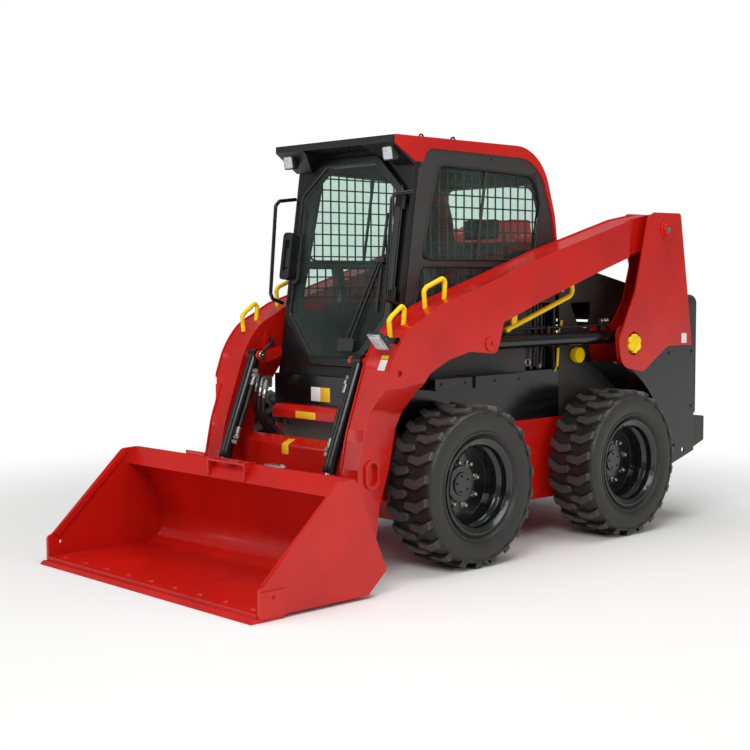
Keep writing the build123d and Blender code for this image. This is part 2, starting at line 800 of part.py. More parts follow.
def make_grab_bars():
    """Black grab bars on the two front pillars."""
    points = [
        (425, -148, 1772),
        (425, -255, 1760),
        (425, -280, 1735),
        (425, -318, 1290),
        (425, -305, 1262),
        (425, -237, 1240),
    ]
    bar = bent_tube(points, 9.5)
    pillar = leaning_prism([(-500, DECK_Z), (500, DECK_Z), (500, 2022), (-500, 2022)], -400, 0)
    return both_sides(bar - pillar)


# ---------------------------------------------------------------- door
def make_door_frame():
    """Round-cornered steel ring."""
    ring = leaning_prism(octagon(0, 60), DOOR_GAP, DOOR_PROUD)
    hole = leaning_prism(octagon(48, 34), DOOR_GAP - 5, DOOR_PROUD + 5)
    return ring - hole


def make_door_glass():
    """Pane held in the ring."""
    return leaning_prism(octagon(48, 34), DOOR_GAP + 6, DOOR_GAP + 12)


def make_door_latch():
    """Latch housing on the door's free edge, inside its bent guard."""
    housing = leaning_prism([(-408, 1352, 22), (-338, 1352, 22), (-338, 1590, 22), (-408, 1590, 22)], DOOR_PROUD, 70)
    hollow = leaning_prism([(-388, 1392, 8), (-352, 1392, 8), (-352, 1552, 8), (-388, 1552, 8)], 52, 80)
    rail_face = [(-345, 1602, 20), (-292, 1575, 20), (-292, 1350, 20), (-345, 1320, 20)]
    rail_room = [(-345, 1588, 14), (-306, 1566, 14), (-306, 1360, 14), (-345, 1336, 14)]
    rail = leaning_prism(rail_face, DOOR_PROUD, DOOR_PROUD + 14)
    rail = rail - leaning_prism(rail_room, DOOR_PROUD - 1, DOOR_PROUD + 15)
    return housing - hollow + rail


def make_wiper():
    """Wiper on the door: motor housing, twin arm and blade."""
    proud = DOOR_GAP + 12.5
    motor = leaning_prism([(56, 1008, 14), (170, 1008, 14), (170, 1070, 14), (56, 1070, 14)], proud, proud + 26)
    arms = None
    for shift in (0, 34):
        arm = leaning_prism(
            [(96 + shift, 1050), (104 + shift, 1047), (286 + shift * 0.6, 1452), (278 + shift * 0.6, 1455)],
            proud + 12,
            proud + 20,
        )
        arms = arm if arms is None else arms + arm
    blade = leaning_prism([(286, 1205), (298, 1205), (306, 1672), (294, 1672)], proud + 4, proud + 13)
    link = leaning_prism([(272, 1436), (318, 1436), (318, 1460), (272, 1460)], proud + 10, proud + 22)
    return join(motor, arms, blade, link)


def make_tailgate():
    """Rear door: a shallow shell with rounded top corners, open to the engine."""
    outline = [(-600, 590, 10), (600, 590, 10), (600, 1268, 50), (-600, 1268, 50)]
    inner = [(-588, 602, 8), (588, 602, 8), (588, 1256, 40), (-588, 1256, 40)]
    outer = front_prism(outline, 1901, 1978)
    room = front_prism(inner, 1890, 1966)
    gate = outer - room
    for row in range(7):
        for centre_x in (-250, 250):
            z = 880 + row * 36
            gate = gate - block(centre_x - 170, centre_x + 170, 1960, 1985, z, z + 14)
    return gate


# ---------------------------------------------------------------- boom
ARM_OUTLINE = [              # (y, z, round) of the arm's side plates
    (-276, 1184, 400),
    (-375, 1137, 260),
    (-470, 1020, 400),
    (-520, 880, 60),
    (-600, 660, 400),
    (-640, 470, 400),
    (-642, 300, 60),
    (-625, 158, 50),
    (-530, 158, 50),
    (-505, 330, 60),
    (-445, 500, 60),
    (-400, 690, 60),
    (-316, 830, 60),
    (-240, 925, 60),
    (-110, 985, 100),
    (40, 1018, 60),
    (150, 1006, 30),
    (226, 1000, 40),
    (250, 1060, 25),
    (276, 1150, 20),
    (560, 1248),
    (1050, 1402),
    (1353, 1491),
    (1625, 1535, 86),
    (1688, 1600, 60),
    (1650, 1720, 60),
    (1560, 1716, 60),
    (1339, 1680),
    (702, 1508),
    (246, 1365),
    (-172, 1239, 60),
]


def make_boom_arm(side):
    """Lift arm: two side plates with a box between them, slimmer at its lower end."""
    inner_plate = side_prism(ARM_OUTLINE, ARM_INNER_X, ARM_OUTER_X)
    lower_cut = front_prism(
        [(ARM_LOWER_X, 100), (ARM_LOWER_X, 760, 60), (ARM_OUTER_X, 880, 60), (ARM_OUTER_X, 900), (700, 900), (700, 100)],
        -800,
        -250,
    )
    rear_cut = block(ARM_REAR_X, 700, 1290, 1800, 1300, 1800)
    rod_room = [
        (130, 900),
        (120, 1070, 40),
        (170, 1112, 40),
        (300, 1112),
        (300, 900),
    ]
    room = side_prism(rod_room, ARM_INNER_X + ARM_PLATE, ARM_OUTER_X - ARM_PLATE)
    core = Plane.YZ.offset(ARM_INNER_X + ARM_PLATE) * offset(rounded_face(ARM_OUTLINE), amount=-ARM_EDGE)
    band = side_prism(ARM_OUTLINE, ARM_INNER_X + ARM_PLATE, ARM_OUTER_X - ARM_PLATE)
    band = band - extrude(core, amount=ARM_OUTER_X - ARM_INNER_X, dir=(1, 0, 0))
    slim = block(ARM_LOWER_X - ARM_PLATE, 700, -800, -250, 100, 830)
    slim_rear = block(ARM_REAR_X - ARM_PLATE, 700, 1290, 1800, 1300, 1800)
    arm = inner_plate - lower_cut - rear_cut - room - (band - slim - slim_rear)
    small_hole = cross_rod(15, ARM_OUTER_X - 14, ARM_OUTER_X + 1, (-432, 935))
    arm = arm - small_hole
    pivot_hole = cross_rod(30.5, ARM_INNER_X - 1, ARM_OUTER_X + 1, BOOM_PIVOT)
    coupler_hole = cross_rod(22.5, ARM_INNER_X - 1, ARM_OUTER_X + 1, COUPLER_PIVOT)
    arm = arm - pivot_hole - coupler_hole
    outer_stub = cross_rod(22, LIFT_X + 30, ARM_OUTER_X, LIFT_ROD_PIN)
    outer_boss = cross_rod(36, ARM_OUTER_X, ARM_OUTER_X + 8, LIFT_ROD_PIN)
    outer_boss = outer_boss - cross_rod(11, ARM_OUTER_X + 2, ARM_OUTER_X + 9, LIFT_ROD_PIN)
    ring = side_prism([(-598, 416, 42), (-512, 416, 42), (-512, 551, 42), (-598, 551, 42)], ARM_LOWER_X, ARM_LOWER_X + 12)
    slot = side_prism([(-584, 430, 28), (-526, 430, 28), (-526, 537, 28), (-584, 537, 28)], ARM_LOWER_X - 10, ARM_LOWER_X + 13)
    inner_stub = cross_rod(22, ARM_INNER_X, LIFT_X - 30, LIFT_ROD_PIN)
    lug_outline = [
        (-485, 980, 18),
        (-455, 953, 12),
        (-400, 950, 20),
        (-318, 978, 10),
        (-318, 1026, 10),
        (-400, 1006, 20),
        (-464, 1010, 18),
    ]
    lug = side_prism(lug_outline, TILT_X - LUG_OFFSET - 12, TILT_X - LUG_OFFSET)
    spacer = side_prism([(-326, 980), (-326, 1018), (-366, 1008), (-366, 966)], TILT_X - LUG_OFFSET, ARM_INNER_X)
    web = side_prism([(-326, 980), (-326, 1100), (-340, 1100), (-366, 966)], ARM_INNER_X - 12, ARM_INNER_X)
    tilt_pin = cross_rod(16, TILT_X - LUG_OFFSET - 18, ARM_INNER_X, TILT_TOP_PIN)
    arm = join(arm, outer_stub, outer_boss, inner_stub, lug, spacer, web, tilt_pin, ring) - slot
    if side < 0:
        arm = mirrored(arm)
    return arm


def make_boom_cross_tube():
    """Box member that joins the arms in front of the frame."""
    corners = [
        (-500, 405, 12),
        (-392, 405, 12),
        (-392, 560, 8),
        (-430, 592, 8),
        (-500, 560, 12),
    ]
    return side_prism(corners, -ARM_INNER_X, ARM_INNER_X)


def make_boom_handles():
    """Yellow grab loops welded to the top of both arms."""
    loops = (                # (front foot y, z, rear foot y, z, height above the feet)
        (-405, 1096, -322, 1146, 92),
        (-178, 1212, -52, 1256, 108),
    )
    arm = extrude(Plane.YZ.offset(ARM_INNER_X) * offset(rounded_face(ARM_OUTLINE), amount=-ARM_EDGE), amount=185)
    tubes = []
    for y1, z1, y2, z2, height in loops:
        points = [
            (540, y1 + 1, z1 - 12),
            (540, y1 - 9, z1 + height - 16),
            (540, y1 + 8, z1 + height + 3),
            (540, y2 - 8, z2 + height + 1),
            (540, y2 + 8, z2 + height - 16),
            (540, y2 + 1, z2 - 12),
        ]
        tubes.append(bent_tube(points, 11.5) - arm)
    return both_sides(Compound(children=tubes))


def make_work_lamp():
    """Lamp on a bracket at the front of the left arm."""
    body = Pos(578, -512, 1087) * Rot(42, 0, 0) * Box(82, 34, 100)
    bracket = side_prism([(-505, 1082, 8), (-505, 1108, 8), (-330, 1140), (-330, 1060), (-440, 1062, 8)], 590, 606)
    arm = extrude(Plane.YZ.offset(ARM_INNER_X) * offset(rounded_face(ARM_OUTLINE), amount=-ARM_EDGE), amount=185)
    return body + bracket - arm


def make_safety_strut():
    """Yellow arm support stowed under the left arm."""
    strut = bent_tube([(545, 380, 1104), (545, 895, 1272), (545, 912, 1300), (545, 900, 1368)], 13)
    hanger = block(539, 551, 430, 470, 1110, 1230)
    arm = extrude(Plane.YZ.offset(ARM_INNER_X) * offset(rounded_face(ARM_OUTLINE), amount=-ARM_EDGE), amount=185)
    return strut + hanger - arm


# ---------------------------------------------------------------- cylinders
def axis_frame(x, start, end):
    """Plane at start (y, z) whose Z runs towards end and whose X is the machine's X."""
    return Plane((x, start[0], start[1]), x_dir=(1, 0, 0), z_dir=(0, end[0] - start[0], end[1] - start[1]))


def make_barrel(x, base_pin, rod_pin, radius, base_eye, eye_width, pin_radius, length, bore):
    """Cylinder barrel from its base eye; hollow over the rod's travel."""
    frame = axis_frame(x, base_pin, rod_pin)
    upward = (Align.CENTER, Align.CENTER, Align.MIN)
    tube = Pos(0, 0, base_eye * 0.6) * Cylinder(radius, length - base_eye * 0.6, align=upward)
    eye = Rot(0, 90, 0) * Cylinder(base_eye, eye_width)
    pin_hole = Rot(0, 90, 0) * Cylinder(pin_radius + 0.5, eye_width + 2)
    neck = Cylinder(min(radius, eye_width / 2), base_eye * 1.5, align=upward)
    rod_room = Pos(0, 0, base_eye * 1.5) * Cylinder(bore, length, align=upward)
    solid = tube + neck + eye - pin_hole - rod_room
    return frame * solid


def make_rod(x, base_pin, rod_pin, radius, rod_eye, eye_width, pin_radius, start):
    """Piston rod with its eye; start is where the rod begins inside the barrel."""
    frame = axis_frame(x, base_pin, rod_pin)
    length = hypot(rod_pin[0] - base_pin[0], rod_pin[1] - base_pin[1])
    upward = (Align.CENTER, Align.CENTER, Align.MIN)
    shaft = Pos(0, 0, start) * Cylinder(radius, length - start - rod_eye * 0.5, align=upward)
    eye = Pos(0, 0, length) * Rot(0, 90, 0) * Cylinder(rod_eye, eye_width)
    hole = Pos(0, 0, length) * Rot(0, 90, 0) * Cylinder(pin_radius, eye_width + 2)
    return frame * (shaft + eye - hole)


def make_lift_barrels():
    """Both lift cylinder barrels."""
    barrel = make_barrel(LIFT_X, LIFT_BASE_PIN, LIFT_ROD_PIN, LIFT_BARREL_RADIUS, 38, 60, 20, 1060, 23)
    return both_sides(barrel)


def make_lift_rods():
    """Both lift cylinder rods."""
    rod = make_rod(LIFT_X, LIFT_BASE_PIN, LIFT_ROD_PIN, 21, 34, 50, 22, 90)
    return both_sides(rod)


def make_tilt_barrels():
    """Both tilt cylinder barrels."""
    barrel = make_barrel(TILT_X, TILT_TOP_PIN, TILT_ROD_PIN, TILT_BARREL_RADIUS, 30, 56, 16, 536, 17)
    return both_sides(barrel)


def make_tilt_rods():
    """Both tilt cylinder rods."""
    rod = make_rod(TILT_X, TILT_TOP_PIN, TILT_ROD_PIN, 15, 27, 46, 16, 125)
    return both_sides(rod)


# ---------------------------------------------------------------- coupler and bucket
BACK_LENGTH = hypot(BUCKET_TOP[0] - BUCKET_HEEL[0], BUCKET_TOP[1] - BUCKET_HEEL[1])
BACK_UP = ((BUCKET_TOP[0] - BUCKET_HEEL[0]) / BACK_LENGTH, (BUCKET_TOP[1] - BUCKET_HEEL[1]) / BACK_LENGTH)
BACK_OUT = (BACK_UP[1], -BACK_UP[0])         # normal of the bucket's back, towards the machine


def on_back(up, out, round_radius=0):
    """Corner (y, z, round) at a height up the bucket's back and a distance off it."""
    y = BUCKET_HEEL[0] + up * BACK_UP[0] + out * BACK_OUT[0]
    z = BUCKET_HEEL[1] + up * BACK_UP[1] + out * BACK_OUT[1]
    return (y, z, round_radius)


def make_coupler():
    """Quick-attach frame: two face plates with ears for the arm and the tilt rod, joined by a tube."""
    face = [on_back(25, 0.5), on_back(25, 14), on_back(418, 14), on_back(418, 0.5)]
    arm_ear = [
        on_back(30, 12),
        on_back(5, 130, 40),
        on_back(50, 195, 44),
        on_back(100, 150, 44),
        on_back(160, 110, 30),
        on_back(215, 128, 32),
        on_back(262, 92, 32),
        on_back(330, 12),
    ]
    side_ear = [
        on_back(30, 12),
        on_back(5, 130, 40),
        on_back(50, 195, 44),
        on_back(100, 150, 44),
        on_back(180, 12),
    ]
    plates = side_prism(face, TILT_X - LUG_OFFSET - 14, 600)
    ears = (                 # (x from, x to, outline)
        (TILT_X - LUG_OFFSET - 12, TILT_X - LUG_OFFSET, arm_ear),
        (TILT_X + LUG_OFFSET, TILT_X + LUG_OFFSET + 12, arm_ear),
        (ARM_LOWER_X + 7, ARM_LOWER_X + 19, side_ear),
    )
    solid = plates
    for x_from, x_to, outline in ears:
        solid = solid + side_prism(outline, x_from, x_to)
    pin = cross_rod(22, TILT_X + LUG_OFFSET - 4, ARM_LOWER_X + 24, COUPLER_PIVOT)
    inner_stub = cross_rod(15, TILT_X - LUG_OFFSET - 17, TILT_X - 28, TILT_ROD_PIN)
    outer_stub = cross_rod(15, TILT_X + 28, TILT_X + LUG_OFFSET + 12, TILT_ROD_PIN)
    solid = join(solid, pin, inner_stub, outer_stub)
    tube_centre = on_back(150, 14 + 36)
    tube = cross_rod(36, -TILT_X, TILT_X - 40, tube_centre[:2])
    return join(solid, mirrored(solid), tube)


def make_bucket():
    """Bucket: bent floor and back sheet, side plates, top lip and bracket."""
    inside_x = BUCKET_HALF_WIDTH - BUCKET_PLATE
    corner_y = BUCKET_HEEL[0] - BACK_UP[0] / BACK_UP[1] * (BUCKET_HEEL[1] - 16)
    outer = [(-1405, 16), (corner_y, 16, 130), (BUCKET_TOP[0], BUCKET_TOP[1]), (-1405, 523)]
    inner = [
        (-1500, 16 + BUCKET_PLATE),
        (corner_y - BUCKET_PLATE * 1.6, 16 + BUCKET_PLATE, 120),
        (BUCKET_TOP[0] - BUCKET_PLATE * 1.09, BUCKET_TOP[1]),
        (BUCKET_TOP[0] - BUCKET_PLATE * 1.09, 600),
        (-1500, 600),
    ]
    sheet = side_prism(outer, -inside_x, inside_x) - side_prism(inner, -inside_x - 1, inside_x + 1)
    cheek_outline = [
        (-1400, 16),
        (-804, 16, 10),
        (BUCKET_HEEL[0], BUCKET_HEEL[1], 10),
        (BUCKET_TOP[0], BUCKET_TOP[1], 14),
        (-972, 520, 40),
        (-1375, 140),
        (-1400, 130),
    ]
    cheek = side_prism(cheek_outline, inside_x, BUCKET_HALF_WIDTH)
    lip = side_prism(
        [(-878, 522), (-889, 522), (-938, 442), (-930, 437), (-880, 500)], -inside_x, inside_x
    )
    strip_outline = [(-1375, 145), (-1346, 128), (-940, 512, 7), (-962, 520, 7)]
    strip = side_prism(strip_outline, inside_x - 12, inside_x)
    wear_plate = side_prism([(-1400, 17), (-1262, 17), (-1262, 122), (-1400, 122)], BUCKET_HALF_WIDTH, EDGE_HALF_WIDTH)
    wear_hole = cross_rod(9, inside_x - 1, EDGE_HALF_WIDTH + 1, (-1330, 96))
    side_parts = join(cheek, strip, wear_plate) - wear_hole
    shelf = block(-140, 140, -940, -872, 520, 528)
    shelf = shelf - block(-118, -48, -926, -890, 515, 530) - block(48, 118, -926, -890, 515, 530)
    gusset = side_prism([(-940, 521), (-884, 521), (-884, 500), (-934, 440), (-940, 448)], 132, 140)
    tab = block(-390, -240, -883, -875, 500, 541)
    return join(sheet, side_parts, mirrored(side_parts), lip, shelf, gusset, mirrored(gusset), tab)


def make_cutting_edge():
    """Bevelled wear edge under the front of the floor, with corner wear plates."""
    blade = [(BUCKET_TIP_Y, 0), (-1270, 0), (-1270, 16), (-1425, 16)]
    inside_x = BUCKET_HALF_WIDTH - BUCKET_PLATE
    strip = block(-inside_x, inside_x, -1404, -1304, 16 + BUCKET_PLATE, 16 + BUCKET_PLATE + 7)
    return Compound(children=[side_prism(blade, -BUCKET_HALF_WIDTH, BUCKET_HALF_WIDTH), strip])


# ---------------------------------------------------------------- assembly
def build_nodes():
    """All nodes by name, in the drawing frame."""
    nodes = {
        "frame_tub": make_frame_tub(),
        "axle_housings": make_axle_housings(),
        "body_deck": make_body_deck(),
        "front_cover": make_front_cover(),
        "front_step": make_front_step(),
        "side_sills": make_side_sills(),
        "engine_bay_sides": make_engine_bay_sides(),
        "engine_block": make_engine_block(),
        "hood": make_hood(),
        "hood_rails": make_hood_rails(),
        "rear_frame": make_rear_frame(),
        "side_skirts": make_side_skirts(),
        "rear_arches": make_rear_arches(),
        "bumper": make_bumper(),
        "tower_caps": make_tower_caps(),
        "fuel_cap": make_fuel_cap(),
        "cab_front": make_cab_front(),
        "cab_rear": make_cab_rear(),
        "bay_rails": make_bay_rails(),
        "cab_floor": make_cab_floor(),
        "cab_roof": make_cab_roof(),
        "headliner": make_headliner(),
        "lifting_eyes": make_lifting_eyes(),
        "roof_visor": make_roof_visor(),
        "roof_lamps": make_roof_lamps(),
        "cab_glass": make_cab_glass(),
        "window_guards": make_window_guards(),
        "control_levers": make_control_levers(),
        "grab_bars": make_grab_bars(),
        "seat": make_seat(),
        "door_frame": make_door_frame(),
        "door_glass": make_door_glass(),
        "door_latch": make_door_latch(),
        "wiper": make_wiper(),
        "tailgate": make_tailgate(),
        "boom_cross_tube": make_boom_cross_tube(),
        "boom_handles": make_boom_handles(),
        "work_lamp": make_work_lamp(),
        "safety_strut": make_safety_strut(),
        "lift_barrels": make_lift_barrels(),
        "lift_rods": make_lift_rods(),
        "tilt_barrels": make_tilt_barrels(),
        "tilt_rods": make_tilt_rods(),
        "coupler": make_coupler(),
        "bucket": make_bucket(),
        "cutting_edge": make_cutting_edge(),
    }
    for name, side in SIDES:
        nodes["tower_" + name] = make_tower(side)
        nodes["cab_side_" + name] = make_cab_side(side)
        nodes["boom_arm_" + name] = make_boom_arm(side)
    tyre = make_tyre()
    rim = make_rim()
    for axle, axle_y in AXLES:
        for name, side in SIDES:
            place = Pos(side * WHEEL_X, axle_y, AXLE_Z)
            turn = Rot(0, 0, 0 if side > 0 else 180)
            nodes["tyre_" + axle + "_" + name] = place * turn * tyre
            nodes["rim_" + axle + "_" + name] = place * turn * rim
    return nodes


os.makedirs("parts", exist_ok=True)
for node, shape in build_nodes().items():
    export_step(Pos(0, FRONT_AXLE_Y, 0) * shape, "parts/" + node + ".step")
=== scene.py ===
import math
import random

import bmesh
import bpy
from mathutils import Matrix, Vector


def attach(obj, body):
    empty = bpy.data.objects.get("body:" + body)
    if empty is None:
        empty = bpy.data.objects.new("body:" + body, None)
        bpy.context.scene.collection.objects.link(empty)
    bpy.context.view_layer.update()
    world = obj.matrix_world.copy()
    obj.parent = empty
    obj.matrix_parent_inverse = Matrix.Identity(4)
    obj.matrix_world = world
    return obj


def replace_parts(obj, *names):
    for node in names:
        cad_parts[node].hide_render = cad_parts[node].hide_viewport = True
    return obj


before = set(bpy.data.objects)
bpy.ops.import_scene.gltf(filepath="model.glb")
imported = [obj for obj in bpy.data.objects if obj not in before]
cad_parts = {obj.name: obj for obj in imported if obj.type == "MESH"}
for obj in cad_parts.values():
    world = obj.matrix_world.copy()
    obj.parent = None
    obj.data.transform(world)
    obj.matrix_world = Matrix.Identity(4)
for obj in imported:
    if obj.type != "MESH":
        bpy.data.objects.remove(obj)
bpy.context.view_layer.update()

scene = bpy.context.scene
MM = 0.001
FRONT_AXLE_Y = -0.282        # the front axle in the row frame

# ---------------------------------------- studio
# A seamless white paper sweep: one wide floor that fades to white, lit by
# large soft boxes and a dim pale world, with the camera at a standing
# person's height, ahead of the machine's left front corner.


def linear(hex_colour):
    """An sRGB colour written as hex, as linear red, green, blue and one."""
    values = [int(hex_colour[i:i + 2], 16) / 255 for i in (1, 3, 5)]
    return tuple(v / 12.92 if v <= 0.04045 else ((v + 0.055) / 1.055) ** 2.4 for v in values) + (1.0,)


def set_up(thing, **attributes):
    """The thing itself, with its attributes set."""
    for key, value in attributes.items():
        setattr(thing, key, value)
    return thing


def add_node(tree, kind, settings=(), links=(), **attributes):
    """A shader node with its attributes, its input values, and its links from sockets or first outputs."""
    made = set_up(tree.nodes.new("ShaderNode" + kind), **attributes)
    for socket, value in dict(settings).items():
        made.inputs[socket].default_value = value
    for socket, source in dict(links).items():
        tree.links.new(getattr(source, "outputs", [source])[0], made.inputs[socket])
    return made


def add_object(name, data):
    """A new object in the scene."""
    made = bpy.data.objects.new(name, data)
    scene.collection.objects.link(made)
    return made


def new_material(name):
    """A material and its empty node tree."""
    material = bpy.data.materials.new(name)
    material.use_nodes = True
    material.node_tree.nodes.clear()
    return material, material.node_tree


FLOOR_LIT = "#EDEDEC"
FLOOR_SIZE = 60.0
FADE_FROM, FADE_TO = 1.6, 4.6        # metres from the middle, from lit paper to plain white


def paper_floor():
    """White to the camera and in reflections, apart from the shadow that falls on it."""
    material, tree = new_material("paper_sweep")
    path = add_node(tree, "LightPath")
    paper = add_node(tree, "BsdfDiffuse", {"Color": linear(FLOOR_LIT)})
    glow = add_node(tree, "Emission", {"Color": (1, 1, 1, 1), "Strength": 1.0})
    near = add_node(tree, "NewGeometry")
    distance = add_node(tree, "VectorMath", operation="LENGTH", links={0: near.outputs["Position"]})
    fade = add_node(tree, "MapRange", {"From Min": FADE_FROM, "From Max": FADE_TO},
                    {"Value": distance.outputs["Value"]}, interpolation_type="SMOOTHSTEP")
    seen = add_node(tree, "Math", links={0: path.outputs["Is Camera Ray"], 1: path.outputs["Is Glossy Ray"]},
                    operation="MAXIMUM")
    through = add_node(tree, "Math", links={0: seen, 1: path.outputs["Is Transmission Ray"]},
                       operation="MAXIMUM")
    amount = add_node(tree, "Math", links={0: through, 1: fade}, operation="MULTIPLY")
    mixed = add_node(tree, "MixShader", links={0: amount, 1: paper, 2: glow})
    add_node(tree, "OutputMaterial", links={"Surface": mixed})
    return material


bpy.ops.mesh.primitive_plane_add(size=FLOOR_SIZE, location=(0, 0, -0.0005))
floor = bpy.context.object
floor.name = "paper_floor"
floor.data.materials.append(paper_floor())

world = bpy.data.worlds.new("studio_air")
scene.world = world
world.use_nodes = True
air = world.node_tree
air.nodes.clear()
air_path = add_node(air, "LightPath")
white_air = add_node(air, "Background", {"Color": (1, 1, 1, 1), "Strength": 1.0})
soft_air = add_node(air, "Background", {"Color": linear("#F4F6F8"), "Strength": 0.29})
air_seen = add_node(air, "Math", operation="MAXIMUM", links={
    0: air_path.outputs["Is Camera Ray"], 1: air_path.outputs["Is Transmission Ray"]})
air_mix = add_node(air, "MixShader", links={0: air_seen, 1: soft_air, 2: white_air})
add_node(air, "OutputWorld", links={"Surface": air_mix})

SOFT_BOXES = (               # name, place, aim, size, power in watts
    ("key_box", (3.4, -5.2, 5.2), (0.2, -0.4, 0.8), 3.4, 262),
    ("front_box", (-3.4, -6.2, 2.6), (0.0, -0.6, 0.7), 3.2, 55),
    ("top_box", (0.5, 0.6, 6.2), (0.0, 0.2, 0.6), 4.5, 215),
    ("side_box", (6.4, 1.2, 2.6), (0.3, 0.3, 0.9), 2.6, 75),
)
for name, place, aim, size, power in SOFT_BOXES:
    light = set_up(bpy.data.lights.new(name, "AREA"), shape="SQUARE", size=size, energy=power)
    lamp = add_object(name, light)
    lamp.location = place
    lamp.rotation_euler = (Vector(aim) - Vector(place)).to_track_quat("-Z", "Y").to_euler()

CAMERA_PLACE = (4.9955, -5.0138, 1.3626)
CAMERA_YAW, CAMERA_DOWN, CAMERA_ROLL = 46.486, 4.031, -0.173
camera = add_object("camera", set_up(bpy.data.cameras.new("camera"), lens=65.463, sensor_width=36.0))
turn = Matrix.Rotation(math.radians(CAMERA_YAW), 4, "Z")
turn = turn @ Matrix.Rotation(math.radians(90 - CAMERA_DOWN), 4, "X")
turn = turn @ Matrix.Rotation(math.radians(CAMERA_ROLL), 4, "Z")
camera.matrix_world = Matrix.Translation(CAMERA_PLACE) @ turn
scene.camera = camera
scene.view_settings.view_transform = "Standard"

# ---------------------------------------- welded chassis
# The chassis is a box of 6 to 10 mm plate, welded, shot-blasted and coated
# with red enamel: glossy, with a fine orange peel, duller where dust sits.
# The panels that come off it are charcoal, its brackets and liners black.


def surface_of(name, colour, worn, roughness, cloud_mm=350, grain_mm=2.5, relief_mm=0.3, relief=0.05,
               metallic=0.0, coat=0.0, specular=0.5, spread=0.06):
    """A surface whose colour and gloss drift in broad clouds under a fine relief."""
    material = bpy.data.materials.new(name)
    material.use_nodes = True
    tree = material.node_tree
    surface = tree.nodes["Principled BSDF"]
    place = add_node(tree, "TexCoord").outputs["Object"]
    cloud = add_node(tree, "TexNoise", {"Scale": 1 / (cloud_mm * MM), "Detail": 4.0, "Roughness": 0.6},
                     {"Vector": place})
    shade = add_node(tree, "Mix", {"A": linear(colour), "B": linear(worn)}, data_type="RGBA")
    amount = add_node(tree, "MapRange", {"From Min": 0.35, "From Max": 0.75}, {"Value": cloud})
    tree.links.new(amount.outputs["Result"], shade.inputs[0])
    tree.links.new(shade.outputs["Result"], surface.inputs["Base Color"])
    grain = add_node(tree, "TexNoise", {"Scale": 1 / (grain_mm * MM), "Detail": 1.5}, {"Vector": place})
    bump = add_node(tree, "Bump", {"Strength": relief, "Distance": relief_mm * MM}, {"Height": grain})
    tree.links.new(bump.outputs["Normal"], surface.inputs["Normal"])
    gloss = add_node(tree, "MapRange", {"To Min": roughness - spread, "To Max": roughness + spread},
                     {"Value": cloud})
    tree.links.new(gloss.outputs["Result"], surface.inputs["Roughness"])
    surface.inputs["Metallic"].default_value = metallic
    surface.inputs["Specular IOR Level"].default_value = specular
    surface.inputs["Coat Weight"].default_value = coat
    surface.inputs["Coat Roughness"].default_value = 0.12
    return material


def dress(material, *nodes):
    """Puts a material on the slots of CAD nodes."""
    for node in nodes:
        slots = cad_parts[node].data.materials
        if not slots:
            slots.append(material)
        for index in range(len(slots)):
            slots[index] = material


def soften(width_mm, *nodes):
    """Rounds the edges of CAD plates, as a deburred and painted edge or a moulded one is."""
    for node in nodes:
        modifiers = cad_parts[node].modifiers
        set_up(modifiers.new("weld", "WELD"), merge_threshold=0.02 * MM)
        set_up(modifiers.new("flat", "DECIMATE"), decimate_type="DISSOLVE", angle_limit=math.radians(0.4))
        set_up(modifiers.new("edge", "BEVEL"), width=width_mm * MM, segments=2, limit_method="ANGLE",
               angle_limit=math.radians(32), harden_normals=True, use_clamp_overlap=True)


# Powder-coated red: clear enough to mirror the soft boxes as broad pale bands.
RED = surface_of("red_enamel", "#CC1A0F", "#B2130B", 0.26, coat=0.10, specular=0.38)
# Textured charcoal powder coat: a dull sheen that never mirrors.
CHARCOAL = surface_of("charcoal_enamel", "#32312E", "#292826", 0.45, grain_mm=1.2, relief=0.12)
# Satin black chassis paint: soft long highlights along the edges.
BLACK = surface_of("black_enamel", "#0A0A0B", "#101011", 0.22, coat=0.2, specular=0.4)
# Yellow enamel for grab loops and service points, slightly warmer in its shade.
YELLOW = surface_of("yellow_enamel", "#FFD900", "#F6C800", 0.34, cloud_mm=120, coat=0.08, specular=0.35)
# Grey cast iron under thin paint: coarse sand-cast skin.
CAST = surface_of("cast_iron_paint", "#2E2E2D", "#3B3A38", 0.6, cloud_mm=90, grain_mm=3, relief=0.5)

# The charcoal coat again, made paler on the cover between the lift arms: painted light, standing in for the
# front light that falls on it.
CHARCOAL_PAINTED_LIT = surface_of("charcoal_enamel_painted_light", "#5D5B55", "#504E49", 0.45, grain_mm=1.2, relief=0.12)

dress(RED, "frame_tub", "front_step")
dress(BLACK, "axle_housings", "body_deck", "side_sills", "rear_frame", "rear_arches", "side_skirts")
dress(CHARCOAL_PAINTED_LIT, "front_cover")
dress(CHARCOAL, "engine_bay_sides", "hood", "bumper")
dress(CAST, "engine_block")
soften(2.0, "frame_tub", "front_step", "body_deck", "side_sills", "front_cover", "engine_bay_sides", "hood",
       "side_skirts", "bumper", "rear_frame")


def at(x, y, z):
    """A point measured from the front axle, in the row frame."""
    return Vector((x, y + FRONT_AXLE_Y, z))


def facing(point, direction, spin=0.0):
    """Placement at a point whose Z runs along a direction."""
    tilt = Vector(direction).to_track_quat("Z", "Y").to_matrix().to_4x4()
    return Matrix.Translation(point) @ tilt @ Matrix.Rotation(math.radians(spin), 4, "Z")


def on_circle(radius, angle):
    """Two coordinates of a point on a circle about the origin."""
    return radius * math.cos(angle), radius * math.sin(angle)


def on_side(side, x, y, z, spin=0.0):
    """Placement on a face of the left (1) or the right (-1), so far from the middle, looking outward."""
    return facing(at(side * x, y, z), (side, 0, 0), spin)


def bridge(bm, rings, closed=True):
    """Faces from each ring of vertices to the next, and over both ends."""
    for low, high in zip(rings, rings[1:]):
        for index in range(len(low)):
            after = (index + 1) % len(low)
            bm.faces.new((low[index], low[after], high[after], high[index]))
    if closed:
        bm.faces.new(rings[0][::-1])
        bm.faces.new(rings[-1])


